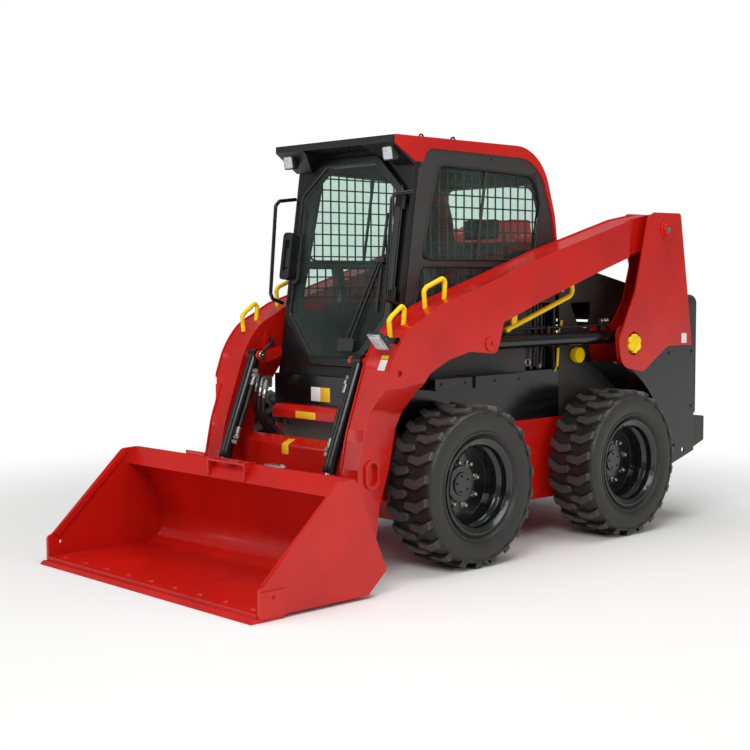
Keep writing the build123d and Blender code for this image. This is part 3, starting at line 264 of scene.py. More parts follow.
def lathe(bm, profile, place, segments=32):
    """Turns a profile of (radius, height) about the Z of a placement and closes both ends."""
    angles = [2 * math.pi * index / segments for index in range(segments)]
    bridge(bm, [[bm.verts.new(place @ Vector((*on_circle(radius, angle), height))) for angle in angles]
                for radius, height in profile])


def slab(bm, place, width, height, thickness, corner, steps=4):
    """A round-cornered plate lying on the XY plane of a placement."""
    outline = []
    for sx, sy, start in ((1, 1, 0), (-1, 1, 90), (-1, -1, 180), (1, -1, 270)):
        for step in range(steps + 1):
            angle = math.radians(start + 90 * step / steps)
            outline.append((sx * (width / 2 - corner) + corner * math.cos(angle),
                            sy * (height / 2 - corner) + corner * math.sin(angle)))
    rings = []
    bevel = min(thickness * 0.3, 0.0015)
    for inset, z in ((0, 0), (0, thickness - bevel), (bevel, thickness)):
        scale = (1 - 2 * inset / width, 1 - 2 * inset / height)
        rings.append([bm.verts.new(place @ Vector((x * scale[0], y * scale[1], z))) for x, y in outline])
    bridge(bm, rings)


def mesh_from(bm, name, material):
    """A mesh from a bmesh, which it frees, with its material."""
    mesh = bpy.data.meshes.new(name)
    bm.to_mesh(mesh)
    bm.free()
    mesh.materials.append(material)
    return mesh


def add_piece(name, bm, material, body, smooth=38, origin=(0, 0, 0)):
    """An object from a bmesh, shaded smooth up to an angle, that rides on a body."""
    bmesh.ops.recalc_face_normals(bm, faces=bm.faces)
    mesh = mesh_from(bm, name, material)
    mesh.shade_smooth()
    mesh.set_sharp_from_angle(angle=math.radians(smooth))
    piece = add_object(name, mesh)
    piece.location = origin
    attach(piece, body)
    return piece


def hex_bolt(bm, place, across_mm):
    """A flanged hexagon bolt head standing on the placement."""
    corner = across_mm / math.sqrt(3) * MM
    lathe(bm, ((corner * 1.3, 0), (corner * 1.3, 1.2 * MM), (corner * 1.05, 2.6 * MM)), place, 24)
    tall = across_mm * 0.42 * MM
    lathe(bm, ((corner, 1.5 * MM), (corner, tall - 1.2 * MM), (corner * 0.88, tall)), place, 6)


def button_screw(bm, place, radius_mm=8):
    """A low domed screw head with a socket."""
    r = radius_mm * MM
    lathe(bm, ((r, 0), (r, 0.15 * r), (0.86 * r, 0.42 * r), (0.55 * r, 0.55 * r), (0.42 * r, 0.56 * r),
               (0.40 * r, 0.25 * r)), place, 20)


# Zinc-plated steel: pale, slightly blue-yellow and cloudy.
ZINC = surface_of("zinc_plate", "#B9B9B4", "#9C9B94", 0.3, cloud_mm=18, grain_mm=0.8, relief=0.08,
                  metallic=1.0)
# Blackened steel of screws and glands: dark, with a dull metal shine.
BLACK_STEEL = surface_of("black_oxide_steel", "#1C1C1D", "#2A2A2A", 0.38, cloud_mm=15, metallic=0.6)

SIDES = (1, -1)              # left, right
FORWARD, REARWARD, UPWARD = (0, -1, 0), (0, 1, 0), (0, 0, 1)
HOOD_SLOPE = 0.209           # fall of the engine bay's top towards the rear
BAY_SIDE_X, TOWER_FACE_X = 0.4200, 0.647
DECK_SCREWS = ((0.540, -0.07), (0.540, 0.1), (0.552, 0.3), (0.552, 0.48))
TOWER_BOLTS = ((1.640, 0.950), (1.860, 0.950), (1.862, 0.640), (1.700, 0.430))
screws = bmesh.new()
for side in SIDES:
    for y in (0.985, 1.080, 1.205, 1.330):
        button_screw(screws, on_side(side, BAY_SIDE_X, y, 1.4200 - HOOD_SLOPE * (y - 0.985)))
    for x, y in DECK_SCREWS:
        button_screw(screws, on_side(side, x, y, 0.862), 7)
    for y, z in TOWER_BOLTS:
        hex_bolt(screws, on_side(side, TOWER_FACE_X, y, z), 13)
for x in (-0.310, 0.310):
    for z in (0.440, 0.640):
        button_screw(screws, facing(at(x, -0.307, z), FORWARD), 7)
for x in (-0.540, -0.180, 0.180, 0.540):
    lathe(screws, ((0.014, 0), (0.0135, 0.0012), (0.0080, 0.0018), (0.0070, 0.0008)),
          facing(at(x, 2.005, 0.505), REARWARD), 24)
add_piece("panel_screws", screws, BLACK_STEEL, "chassis")

# ---------------------------------------- wheels
# Bias-ply lug tyres on one-piece drop-centre rims: each tyre is moulded
# black rubber with two staggered rows of hooked bars, mirrored from one
# side of the machine to the other, and a ribbed shoulder. Eight domed
# nuts hold each black rim to its hub.
WHEEL_X, WHEEL_RADIUS, WHEELBASE = 0.6075, 0.388, 1.185
TYRE_HALF_PROFILE = (        # x, radius: from the bead to the middle of the tread
    (0.1095, 0.2078), (0.1130, 0.2085), (0.1136, 0.2360), (0.1210, 0.2440), (0.1320, 0.2520),
    (0.1332, 0.2590), (0.1290, 0.2630), (0.1340, 0.2760), (0.1366, 0.3000), (0.1368, 0.3260),
    (0.1346, 0.3420), (0.1348, 0.3488), (0.1384, 0.3505), (0.1384, 0.3550), (0.1335, 0.3578),
    (0.1240, 0.3625), (0.1100, 0.3645), (0.0600, 0.3652), (0.0000, 0.3655),
)
TYRE_STEPS = 132             # round the tyre
BARS_PER_ROW = 22
BAR_END_X, SHOULDER_X = 0.124, 0.1
BAR_REAR = (                 # x, distance along the tread: from the shoulder to the middle
    (BAR_END_X, -0.038), (0.090, -0.020), (0.058, -0.004), (0.022, -0.009), (0.004, -0.010), (-0.005, -0.003),
)
BAR_FRONT = (
    (BAR_END_X, 0.001), (0.094, 0.018), (0.062, 0.035), (0.034, 0.030), (0.005, 0.025), (-0.006, 0.016),
)
BAR_LEVELS = (               # growth outward, radius, and x and radius of the two corners at the shoulder
    (0.0055, 0.3600, (0.1374, 0.3440)),
    (0.0012, 0.3845, (0.1262, None)),
    (-0.0012, 0.3868, None),
)


def on_tread(x, along, radius, angle):
    """A point of the tread: across, round the circumference, and out from the axle."""
    turned = angle + along / WHEEL_RADIUS
    return Vector((x, -radius * math.sin(turned), radius * math.cos(turned)))


def tyre_mesh(mirror):
    """The tyre about the X axis, bars hooked towards the way it rolls forward."""
    bm = bmesh.new()
    profile = list(TYRE_HALF_PROFILE) + [(-x, r) for x, r in TYRE_HALF_PROFILE[-2::-1]]
    angles = [2 * math.pi * index / TYRE_STEPS for index in range(TYRE_STEPS)]
    rings = [[bm.verts.new(on_tread(x, 0, r, angle)) for angle in angles] for x, r in profile]
    bridge(bm, rings + rings[:1], closed=False)
    outline = BAR_REAR + BAR_FRONT[::-1]
    middle_x, middle_along = (sum(values) / len(outline) for values in zip(*outline))
    for row, offset in ((1, 0.0), (-1, 0.5)):
        for index in range(BARS_PER_ROW):
            angle = 2 * math.pi * (index + offset) / BARS_PER_ROW
            levels = []
            for grow, radius, corner in BAR_LEVELS:
                ring = []
                for x, along in outline:
                    dx, da = x - middle_x, along - middle_along
                    reach = math.hypot(dx, da)
                    px = x + grow * dx / reach
                    pa = along + grow * 1.5 * da / max(reach, 0.02)
                    pr = radius - 0.0012 * (x / BAR_END_X) ** 2
                    if corner and x > SHOULDER_X:
                        px, pr = corner[0], corner[1] or pr
                    ring.append(bm.verts.new(on_tread(row * px, pa, pr, angle)))
                levels.append(ring)
            bridge(bm, levels, closed=False)
            top = levels[-1]
            for i in range(len(BAR_REAR) - 1):
                bm.faces.new((top[i], top[i + 1], top[-2 - i], top[-1 - i]))
    if mirror:
        bmesh.ops.scale(bm, vec=(-1, 1, 1), verts=bm.verts)
    return bm


# Moulded tyre rubber: dull black, with road dust on the worn tops of the bars.
RUBBER = surface_of("tyre_rubber", "#1E1D1C", "#272624", 0.44, cloud_mm=60, grain_mm=1.6, relief=0.25)
tread = RUBBER.node_tree
tread_place = add_node(tread, "TexCoord")
tread_flat = add_node(tread, "VectorMath", {1: (0, 1, 1)}, {0: tread_place.outputs["Object"]},
                      operation="MULTIPLY")
tread_radius = add_node(tread, "VectorMath", links={0: tread_flat}, operation="LENGTH")
tread_top = add_node(tread, "MapRange", {"From Min": 0.366, "From Max": 0.386, "To Max": 0.8},
                     {"Value": tread_radius.outputs["Value"]}, interpolation_type="SMOOTHSTEP")
tread_specks = add_node(tread, "TexNoise", {"Scale": 1 / (6 * MM), "Detail": 3.0},
                        {"Vector": tread_place.outputs["Object"]})
tread_dust = add_node(tread, "Math", links={0: tread_top, 1: tread_specks}, operation="MULTIPLY")
tread_colour = tread.nodes["Principled BSDF"].inputs["Base Color"]
tread_base = tread_colour.links[0].from_socket
tread_mix = add_node(tread, "Mix", {"B": linear("#5D5955")}, {0: tread_dust, "A": tread_base},
                     data_type="RGBA")
tread.links.new(tread_mix.outputs["Result"], tread_colour)

# Gloss black rim enamel: mirrors the soft boxes as thin rings on the steps of the rim.
RIM_ENAMEL = surface_of("rim_enamel", "#0E0E0F", "#151516", 0.2, cloud_mm=80, coat=0.4)
RIM_DISC_X, HUB_FACE_X = WHEEL_X - 0.010, WHEEL_X + 0.010
NUT_CIRCLE, VALVE_CIRCLE, HUB_SCREW_CIRCLE = 0.1075, 0.158, 0.040
VALVE_ANGLE = 2.2


def round_axle(side, x, axle_y, circle, angle):
    """A point on a wheel's face, on a circle about its axle."""
    ahead, up = on_circle(circle, angle)
    return at(side * x, axle_y + ahead, WHEEL_RADIUS + up)


for axle, axle_y in (("front", 0.0), ("rear", WHEELBASE)):
    for name, side in zip(("left", "right"), SIDES):
        wheel = "%s_%s" % (axle, name)
        body = "wheel_" + wheel
        tyre = add_piece("tyre_%s_lugs" % wheel, tyre_mesh(side < 0), RUBBER, body, 30,
                         at(side * WHEEL_X, axle_y, WHEEL_RADIUS))
        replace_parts(tyre, "tyre_" + wheel)
        dress(RIM_ENAMEL, "rim_" + wheel)
        soften(1.5, "rim_" + wheel)
        nuts = bmesh.new()
        for index in range(8):
            centre = round_axle(side, RIM_DISC_X, axle_y, NUT_CIRCLE, math.radians(45 * index + 12))
            place = facing(centre, (side, 0, 0), 10 * index)
            lathe(nuts, ((0.0165, 0), (0.0165, 0.002), (0.0145, 0.0035)), place, 24)
            lathe(nuts, ((0.0139, 0.002), (0.0139, 0.0135), (0.0125, 0.0150)), place, 6)
            lathe(nuts, ((0.0118, 0.0140), (0.0115, 0.0190), (0.0085, 0.0235), (0.0030, 0.0250)), place, 20)
        add_piece("nuts_" + wheel, nuts, ZINC, body)
        valve = bmesh.new()
        foot = round_axle(side, RIM_DISC_X, axle_y, VALVE_CIRCLE, VALVE_ANGLE)
        lathe(valve, ((0.008, 0), (0.008, 0.004), (0.005, 0.008), (0.0042, 0.030), (0.0052, 0.031),
                      (0.0052, 0.041), (0.003, 0.043)), facing(foot, (side, 0.15, 0.1)), 16)
        for index in range(5):
            centre = round_axle(side, HUB_FACE_X, axle_y, HUB_SCREW_CIRCLE, math.radians(72 * index + 30))
            button_screw(valve, facing(centre, (side, 0, 0)), 6)
        add_piece("valve_and_hub_screws_" + wheel, valve, BLACK_STEEL, body)

# ---------------------------------------- service points
# Yellow painted steel caps in the towers, notched round the rim so that a
# hand can turn them, and a ribbed fuel cap on its neck beside the engine.


def knurled_cap(bm, place, radius, depth, lobes, bite):
    """A cap with a scalloped rim and a dished face."""
    around = lobes * 8
    levels = ((1.0, 0.0), (1.0, depth * 0.82), (0.95, depth), (0.70, depth), (0.66, depth * 0.80),
              (0.10, depth * 0.80))
    rings = []
    for scale, height in levels:
        ring = []
        for index in range(around):
            angle = 2 * math.pi * index / around
            notch = bite * max(0.0, math.cos(lobes * angle)) ** 2 if scale > 0.9 else 0.0
            ring.append(bm.verts.new(place @ Vector((*on_circle(radius * scale - notch, angle), height))))
        rings.append(ring)
    bridge(bm, rings)


CAP_AT, FUEL_AT = (1.302, 1.013), (1.089, 0.952)        # y, z
FUEL_SEAT_X = 0.436
caps = bmesh.new()
for side in SIDES:
    seat = on_side(side, TOWER_FACE_X + MM, *CAP_AT)
    knurled_cap(caps, seat, radius=0.052, depth=0.021, lobes=6, bite=0.009)
    lathe(caps, ((0.018, 0), (0.018, 0.037)), on_side(side, 0.6125, *CAP_AT), 24)
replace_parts(add_piece("notched_caps", caps, YELLOW, "chassis"), "tower_caps")

fuel = bmesh.new()
knurled_cap(fuel, on_side(1, FUEL_SEAT_X, *FUEL_AT), radius=0.042, depth=0.026, lobes=16, bite=0.003)
lathe(fuel, ((0.034, 0), (0.034, 0.016)), on_side(1, 0.4205, *FUEL_AT), 32)
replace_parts(add_piece("ribbed_fuel_cap", fuel, YELLOW, "chassis"), "fuel_cap")

# ---------------------------------------- towers
# Two welded plates a side in red enamel, closed at the back, with the arm
# pin held by a bolted keeper and a grease nipple.
dress(RED, "tower_left", "tower_right")
soften(2.0, "tower_left", "tower_right")
pins = bmesh.new()
for side in SIDES:
    pin_end = on_side(side, 0.6655, 1.595, 1.625)
    lathe(pins, ((0.0195, 0), (0.0195, 0.004), (0.017, 0.006)), pin_end, 32)
    lathe(pins, ((0.004, 0.006), (0.004, 0.010), (0.0025, 0.014)), pin_end, 12)
add_piece("tower_pin_ends", pins, ZINC, "chassis")

# Printed vinyl film, left blank, in white and yellow: flat colour with a faint gloss.
FILM_WHITE = surface_of("white_vinyl_film", "#E9E8E2", "#DDDCD4", 0.35, cloud_mm=30, grain_mm=1, relief=0.03)
FILM_YELLOW = surface_of("yellow_vinyl_film", "#F8C41A", "#EDB70F", 0.35, cloud_mm=30, grain_mm=1,
                         relief=0.03)


def film(name, place, width, height, material, body):
    """A blank label: vinyl film 0.4 mm thick with round corners."""
    bm = bmesh.new()
    slab(bm, place, width, height, 0.4 * MM, 3 * MM)
    return add_piece(name, bm, material, body)


for side in SIDES:
    tower_back = on_side(side, 0.6571, 1.772, 1.028)
    film("tower_label_%d" % (side + 1), tower_back, 0.050, 0.054, FILM_WHITE, "chassis")
film("fascia_label_white", facing(at(-0.100, -0.3001, 0.793), FORWARD), 0.070, 0.070, FILM_WHITE, "chassis")
film("fascia_label_yellow", facing(at(-0.029, -0.3001, 0.793), FORWARD), 0.070, 0.070, FILM_YELLOW, "chassis")
film("step_label", facing(at(-0.086, -0.3801, 0.694), FORWARD), 0.150, 0.034, FILM_YELLOW, "chassis")

# ---------------------------------------- lift arms
# Each arm is a welded box whose side plates stand a little past the plates
# between them, joined by a box beam, all in red enamel. The grab loops are
# 23 mm bar, bent cold, welded to the arms' tops and painted yellow.
dress(RED, "boom_arm_left", "boom_arm_right", "boom_cross_tube")
soften(2.0, "boom_arm_left", "boom_arm_right", "boom_cross_tube")


def bent_path(points, bend, steps=6):
    """The points of a bar with each corner bent to a radius."""
    path = [Vector(points[0])]
    for before, corner, after in zip(points, points[1:], points[2:]):
        corner = Vector(corner)
        back, ahead = Vector(before) - corner, Vector(after) - corner
        turning = math.pi - back.angle(ahead)
        reach = min(bend * math.tan(turning / 2), back.length * 0.48, ahead.length * 0.48)
        start, end = corner + back.normalized() * reach, corner + ahead.normalized() * reach
        for step in range(steps + 1):
            t = step / steps
            path.append(start * (1 - t) ** 2 + corner * 2 * t * (1 - t) + end * t ** 2)
    path.append(Vector(points[-1]))
    return path


def ring_of(bm, centre, side, across, radius, segments):
    """Vertices on a circle spanned by two directions."""
    return [bm.verts.new(centre + (side * math.cos(angle) + across * math.sin(angle)) * radius)
            for angle in (2 * math.pi * step / segments for step in range(segments))]


def sweep_bar(bm, path, radius, segments=16):
    """A round bar along a path, closed at its ends."""
    rings = []
    side = None
    for index, point in enumerate(path):
        ahead = path[min(index + 1, len(path) - 1)] - path[max(index - 1, 0)]
        ahead.normalize()
        if side is None:
            side = ahead.orthogonal().normalized()
        side = (side - ahead * side.dot(ahead)).normalized()
        rings.append(ring_of(bm, point, side, ahead.cross(side), radius, segments))
    bridge(bm, rings)


def bent_bar(bm, x, corners, bend, radius, segments=16):
    """A round bar bent in a plane along the machine, through corners given as y and z."""
    sweep_bar(bm, bent_path([at(x, y, z) for y, z in corners], bend), radius, segments)


LOOP_X, STRUT_X = 0.540, 0.545
GRAB_LOOPS = (               # front foot y, z; rear foot y, z; height
    (-0.405, 1.096, -0.322, 1.146, 0.092),
    (-0.178, 1.212, -0.052, 1.256, 0.108),
)
loops = bmesh.new()
for side in SIDES:
    for y1, z1, y2, z2, height in GRAB_LOOPS:
        corners = [(y1 + 0.001, z1), (y1 - 0.009, z1 + height - 0.016), (y1 + 0.008, z1 + height + 0.003),
                   (y2 - 0.008, z2 + height + 0.001), (y2 + 0.008, z2 + height - 0.016), (y2 + 0.001, z2)]
        bent_bar(loops, side * LOOP_X, corners, 0.018, 0.0115)
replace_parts(add_piece("bent_grab_loops", loops, YELLOW, "boom", 60), "boom_handles")

# The arm support: a bar stowed on the left arm, in a socket at its front.
STRUT_CORNERS = ((0.380, 1.104), (0.895, 1.272), (0.912, 1.300), (0.900, 1.362))
strut = bmesh.new()
bent_bar(strut, STRUT_X, STRUT_CORNERS, 0.03, 0.013)
lathe(strut, ((0.0155, 0), (0.0155, 0.030)), facing(at(STRUT_X, *STRUT_CORNERS[0]), (0, 0.951, 0.310)), 24)
slab(strut, on_side(1, 0.539, 0.450, 1.165), 0.040, 0.095, 0.012, 0.004)
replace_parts(add_piece("stowed_arm_support", strut, YELLOW, "boom", 60), "safety_strut")

ARM_LABEL_X, TUBE_LABEL_X = 0.567, -0.100
BOOM_LABELS = (              # name, x, y, z, how the face leans (y, z), width, height, film
    ("arm_label_white", ARM_LABEL_X, -0.4804, 0.974, (-0.903, 0.43), 0.046, 0.052, FILM_WHITE),
    ("arm_label_amber", ARM_LABEL_X, -0.4640, 1.009, (-0.888, 0.46), 0.046, 0.018, FILM_YELLOW),
    ("cross_tube_label_top", TUBE_LABEL_X, -0.4730, 0.5731, (-0.416, 0.909), 0.050, 0.042, FILM_YELLOW),
    ("cross_tube_label_edge", TUBE_LABEL_X, -0.4976, 0.5592, (-0.801, 0.599), 0.050, 0.013, FILM_YELLOW),
    ("cross_tube_label_front", TUBE_LABEL_X, -0.5001, 0.533, (-1, 0), 0.050, 0.042, FILM_YELLOW),
)
for name, x, y, z, lean, width, height, material in BOOM_LABELS:
    film(name, facing(at(x, y, z), (0, *lean)), width, height, material, "boom")

# ---------------------------------------- work lamp
# A cast lamp head on a steel bracket at the front of the left arm: bright
# reflector housing, black back, and a dimpled clear lens over white diodes.
# Moulded clear lens: pale and wavy, and just brighter than the light that falls on it.
LENS = surface_of("white_diode_lens", "#D3D6D7", "#9EA3A5", 0.16, cloud_mm=12, grain_mm=5, relief_mm=1.5,
                  relief=0.7, coat=0.5)
lens_shader = LENS.node_tree.nodes["Principled BSDF"]
lens_shader.inputs["Emission Color"].default_value = (1, 1, 1, 1)
lens_shader.inputs["Emission Strength"].default_value = 0.06
# Polished cast aluminium of the lamp's bezel: a bright, soft mirror.
BRIGHT = surface_of("bright_cast_aluminium", "#D6D7D8", "#B9BBBC", 0.2, cloud_mm=25, grain_mm=1.0,
                    relief=0.08, metallic=1.0)
# Moulded black plastic: fine spark-eroded grain with a low sheen.
PLASTIC = surface_of("moulded_black_plastic", "#161617", "#1F1F20", 0.45, cloud_mm=50, grain_mm=0.7,
                     relief=0.15)


def lamp_head(name, place, width, height, depth, body, shell):
    """A rectangular lamp facing along Z of the placement: finned housing, bezel, lens with diodes."""
    back = place @ Matrix.Translation((0, 0, -depth / 2))
    housing = bmesh.new()
    slab(housing, back, width * 0.80, height * 0.80, depth * 0.45, 0.012)
    slab(housing, back @ Matrix.Translation((0, 0, depth * 0.30)), width, height, depth * 0.52, 0.010)
    for index in range(5):
        across = (index - 2) * width * 0.15
        slab(housing, back @ Matrix.Translation((across, 0, -0.0005)), 0.003, height * 0.72, 0.004, 0.001)
    head = add_piece(name + "_housing", housing, PLASTIC, body)
    bezel = bmesh.new()
    front = back @ Matrix.Translation((0, 0, depth * 0.80))
    slab(bezel, front, width * 0.97, height * 0.97, depth * 0.16, 0.009)
    add_piece(name + "_bezel", bezel, shell, body)
    lens = bmesh.new()
    slab(lens, front @ Matrix.Translation((0, 0, depth * 0.155)), width * 0.78, height * 0.78, 0.003, 0.007)
    for row in (-0.25, 0, 0.25):
        for column in (-0.25, 0, 0.25):
            spot = front @ Matrix.Translation((column * width, row * height, depth * 0.155 + 0.0025))
            lathe(lens, ((width * 0.095, 0), (width * 0.085, 0.001), (width * 0.05, 0.0018)), spot, 20)
    add_piece(name + "_lens", lens, LENS, body)
    return head


def aimed(point, down_degrees):
    """Placement of a lamp that looks forward and down."""
    down = math.radians(down_degrees)
    return facing(point, (0, -math.cos(down), -math.sin(down)))


work_lamp = lamp_head("work_lamp", aimed(at(0.578, -0.512, 1.087), 42), 0.082, 0.100, 0.034, "boom", BRIGHT)
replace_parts(work_lamp, "work_lamp")
bracket = bmesh.new()
slab(bracket, facing(at(0.606, -0.455, 1.085), (-1, 0, 0)), 0.095, 0.028, 0.014, 0.010)
lathe(bracket, ((0.018, 0), (0.018, 0.022), (0.012, 0.026)), on_side(1, 0.590, -0.495, 1.090), 24)
add_piece("work_lamp_bracket", bracket, BLACK, "boom")

# ---------------------------------------- cylinders
# Honed tube barrels in black enamel, hard-chromed rods, blackened steel
# glands, and zinc-plated ports with crimped hose ends.
dress(BLACK, "lift_barrels", "tilt_barrels")
# Hard chrome, ground and polished: an almost clean mirror along the rod.
CHROME = surface_of("hard_chrome", "#D8D9DA", "#C9CACB", 0.09, cloud_mm=40, grain_mm=0.4, relief=0.02,
                    metallic=1.0, spread=0.03)
dress(CHROME, "lift_rods", "tilt_rods")
TILT_X, LIFT_X = 0.388, 0.550
TILT_TOP, TILT_END = (-0.452, 0.985), (-0.702, 0.353)
TILT_LENGTH = math.hypot(TILT_END[0] - TILT_TOP[0], TILT_END[1] - TILT_TOP[1])
TILT_DOWN = Vector((0, (TILT_END[0] - TILT_TOP[0]) / TILT_LENGTH, (TILT_END[1] - TILT_TOP[1]) / TILT_LENGTH))
THIN_HOSE, PIN_HOSE, THICK_HOSE = 0.0085, 0.0095, 0.0105        # outer radii
CRIMP_LENGTH = 0.060


def on_tilt(side, down, inward):
    """A point beside a tilt cylinder: down its length, and towards the machine's middle."""
    return at(side * (TILT_X - inward), *TILT_TOP) + TILT_DOWN * down


def crimped_end(bm, start, direction):
    """A crimped hose end: hexagon nut, waist and ribbed ferrule, running along a direction from its seat."""
    place = facing(start, direction)
    hose, length = THIN_HOSE, CRIMP_LENGTH
    lathe(bm, ((hose * 1.75, 0), (hose * 1.75, length * 0.26), (hose * 1.6, length * 0.30)), place, 6)
    lathe(bm, ((hose, length * 0.28), (hose, length * 0.42)), place, 20)
    ribs = []
    for index in range(4):
        low = length * (0.42 + 0.145 * index)
        ribs += [(hose * 1.32, low), (hose * 1.45, low + length * 0.03), (hose * 1.45, low + length * 0.10),
                 (hose * 1.30, low + length * 0.135)]
    lathe(bm, ribs, place, 20)


# Hydraulic hose cover: smooth black rubber with a faint cloth mark.
HOSE = surface_of("hose_rubber", "#151515", "#1F1E1E", 0.42, cloud_mm=40, grain_mm=0.9, relief=0.2)


def add_hose(name, points, radius, body):
    """A hose on a smooth curve from one fitting to the other, steered by the given points."""
    curve = set_up(bpy.data.curves.new(name, "CURVE"), dimensions="3D", bevel_depth=radius,
                   bevel_resolution=4, resolution_u=10, use_fill_caps=True)
    line = curve.splines.new("NURBS")
    line.points.add(len(points) - 1)
    for point, place in zip(line.points, points):
        point.co = (*place, 1)
    set_up(line, order_u=3, use_endpoint_u=True)
    curve.materials.append(HOSE)
    piece = add_object(name, curve)
    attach(piece, body)
    return piece


BESIDE, SAG = 0.046, 0.051   # how far inward the tilt hoses run, at their ends and in the middle
TILT_ROUTE = ((0.155, BESIDE), (0.20, BESIDE), (0.27, SAG), (0.33, BESIDE), (0.385, BESIDE))
glands = bmesh.new()
tilt_ports = bmesh.new()
for side in SIDES:
    lathe(glands, ((0.0330, 0), (0.0330, 0.026), (0.0300, 0.030), (0.0180, 0.031)),
          facing(on_tilt(side, 0.512, 0), TILT_DOWN), 32)
    for down in (0.085, 0.455):
        port = on_tilt(side, down, 0.026)
        lathe(tilt_ports, ((0.012, 0), (0.012, 0.016), (0.009, 0.018)), facing(port, (-side, 0, 0)), 20)
        elbow = on_tilt(side, down - 0.008, BESIDE)
        lathe(tilt_ports, ((0.0125, 0), (0.0125, 0.018)), facing(elbow, TILT_DOWN), 6)
    crimped_end(tilt_ports, on_tilt(side, 0.440, BESIDE), -TILT_DOWN)
    crimped_end(tilt_ports, on_tilt(side, 0.100, BESIDE), TILT_DOWN)
    route = [on_tilt(side, *point) for point in TILT_ROUTE]
    add_hose("tilt_hose_%d" % (side + 1), route, THIN_HOSE, "tilt_barrels")
    pin = facing(at(side * 0.3330, *TILT_TOP), (-side, 0, 0))
    lathe(tilt_ports, ((0.0205, 0), (0.0205, 0.005), (0.0185, 0.007)), pin, 32)
    lathe(tilt_ports, ((0.0050, 0.007), (0.0050, 0.011), (0.003, 0.014)), pin, 12)
add_piece("tilt_glands", glands, BLACK_STEEL, "tilt_barrels")
add_piece("tilt_ports_and_ends", tilt_ports, ZINC, "tilt_barrels")

# Three auxiliary couplers on the right arm, with the hoses that run down behind the cross tube.
COUPLER_PROFILE = (          # radius, distance down
    (0.0070, 0), (0.0100, 0.002), (0.0100, 0.016), (0.0150, 0.018), (0.0150, 0.046), (0.0125, 0.049),
    (0.0125, 0.056), (0.0135, 0.058), (0.0135, 0.078), (0.0100, 0.081), (0.0100, 0.094),
)
couplers = bmesh.new()
for x, z in ((-0.368, 0.893), (-0.334, 0.872), (-0.300, 0.863)):
    lathe(couplers, COUPLER_PROFILE, facing(at(x, -0.448, z), (0, -0.22, -0.975)), 24)
slab(couplers, facing(at(-0.3340, -0.4370, 0.840), REARWARD), 0.110, 0.030, 0.006, 0.004)
slab(couplers, on_side(1, -0.4420, -0.400, 0.850), 0.060, 0.050, 0.090, 0.004)
add_piece("auxiliary_couplers", couplers, ZINC, "boom")
for number, (x, z, swing) in enumerate(((-0.334, 0.782, 0.0), (-0.300, 0.773, 0.036))):
    route = [
        at(x, -0.468, z), at(x - 0.004, -0.474, z - 0.055), at(x - 0.014 + 0.35 * swing, -0.452, 0.665),
        at(x - 0.004 + 0.7 * swing, -0.388, 0.592), at(x + 0.046 + swing, -0.356, 0.535),
        at(x + 0.140 + swing, -0.350, 0.485), at(x + 0.230 + swing, -0.348, 0.440),
    ]
    add_hose("auxiliary_hose_%d" % number, route, THICK_HOSE, "boom")
ARM_ROUTE = [at(-0.368, -0.470, 0.800), at(-0.370, -0.475, 0.750), at(-0.386, -0.445, 0.675),
             at(-0.390, -0.385, 0.600), at(-0.380, -0.360, 0.535), at(-0.350, -0.352, 0.470)]
PIN_ROUTE = [at(-0.345, -0.432, 1.005), at(-0.345, -0.415, 1.020), at(-0.352, -0.372, 1.038),
             at(-0.385, -0.335, 1.052), at(-0.425, -0.318, 1.060), at(-0.4455, -0.312, 1.060)]
add_hose("right_arm_hose", ARM_ROUTE, THIN_HOSE, "boom")
add_hose("right_pin_hose", PIN_ROUTE, PIN_HOSE, "boom")

# Hard lines clipped above each lift barrel, with the gland at its rod end and a hose end at the rear.
LINE_X = 0.548
LINE_CORNERS = ((1.225, 1.090), (1.190, 1.112), (0.420, 1.112), (0.372, 1.086))
lift_lines = bmesh.new()
lift_ends = bmesh.new()
for side in SIDES:
    bent_bar(lift_lines, side * LINE_X, LINE_CORNERS, 0.03, 0.0075)
    for y in (1.150, 0.700):
        slab(lift_lines, facing(at(side * LINE_X, y, 1.0835), UPWARD), 0.034, 0.022, 0.036, 0.004)
    lathe(lift_lines, ((0.0365, 0), (0.0375, 0.004), (0.0375, 0.030), (0.0340, 0.034), (0.0225, 0.035)),
          facing(at(side * LIFT_X, 0.300, 1.0492), FORWARD), 32)
    crimped_end(lift_ends, at(side * LINE_X, 1.150, 1.134), (0, 1, 0.05))
    lathe(lift_ends, ((0.012, 0), (0.012, 0.016)), facing(at(side * LINE_X, 1.142, 1.134), (0, 1, 0.05)), 6)
add_piece("lift_hard_lines", lift_lines, BLACK_STEEL, "lift_barrels")
add_piece("lift_hose_ends", lift_ends, ZINC, "lift_barrels")

# ---------------------------------------- bucket
# Bent and welded plate in red enamel, with a bolted bevelled edge and
# pinned wear plates, on a black quick-attach frame.
dress(RED, "bucket", "cutting_edge")
dress(BLACK, "coupler")
soften(1.6, "bucket", "cutting_edge", "coupler")
BUCKET_HALF = 0.8225         # half the width over the wear plates
edge_bolts = bmesh.new()
for index in range(9):
    lathe(edge_bolts, ((0.0165, 0), (0.0160, 0.002), (0.0120, 0.0045), (0.0060, 0.0058), (0.0015, 0.0060)),
          facing(at(-0.720 + index * 0.180, -1.354, 0.033), UPWARD), 24)
for side in SIDES:
    for y, z in ((-1.380, 0.040), (-1.285, 0.040), (-1.285, 0.105)):
        lathe(edge_bolts, ((0.013, 0), (0.0125, 0.0008), (0.0065, 0.0010), (0.0060, 0.0003)),
              on_side(side, BUCKET_HALF, y, z), 20)
add_piece("bucket_edge_bolts", edge_bolts, RED, "bucket_carrier")

# Weld beads where the bucket's sheets meet, painted over.
WELD_STEP = 0.006
welds = bmesh.new()
rng = random.Random(7)


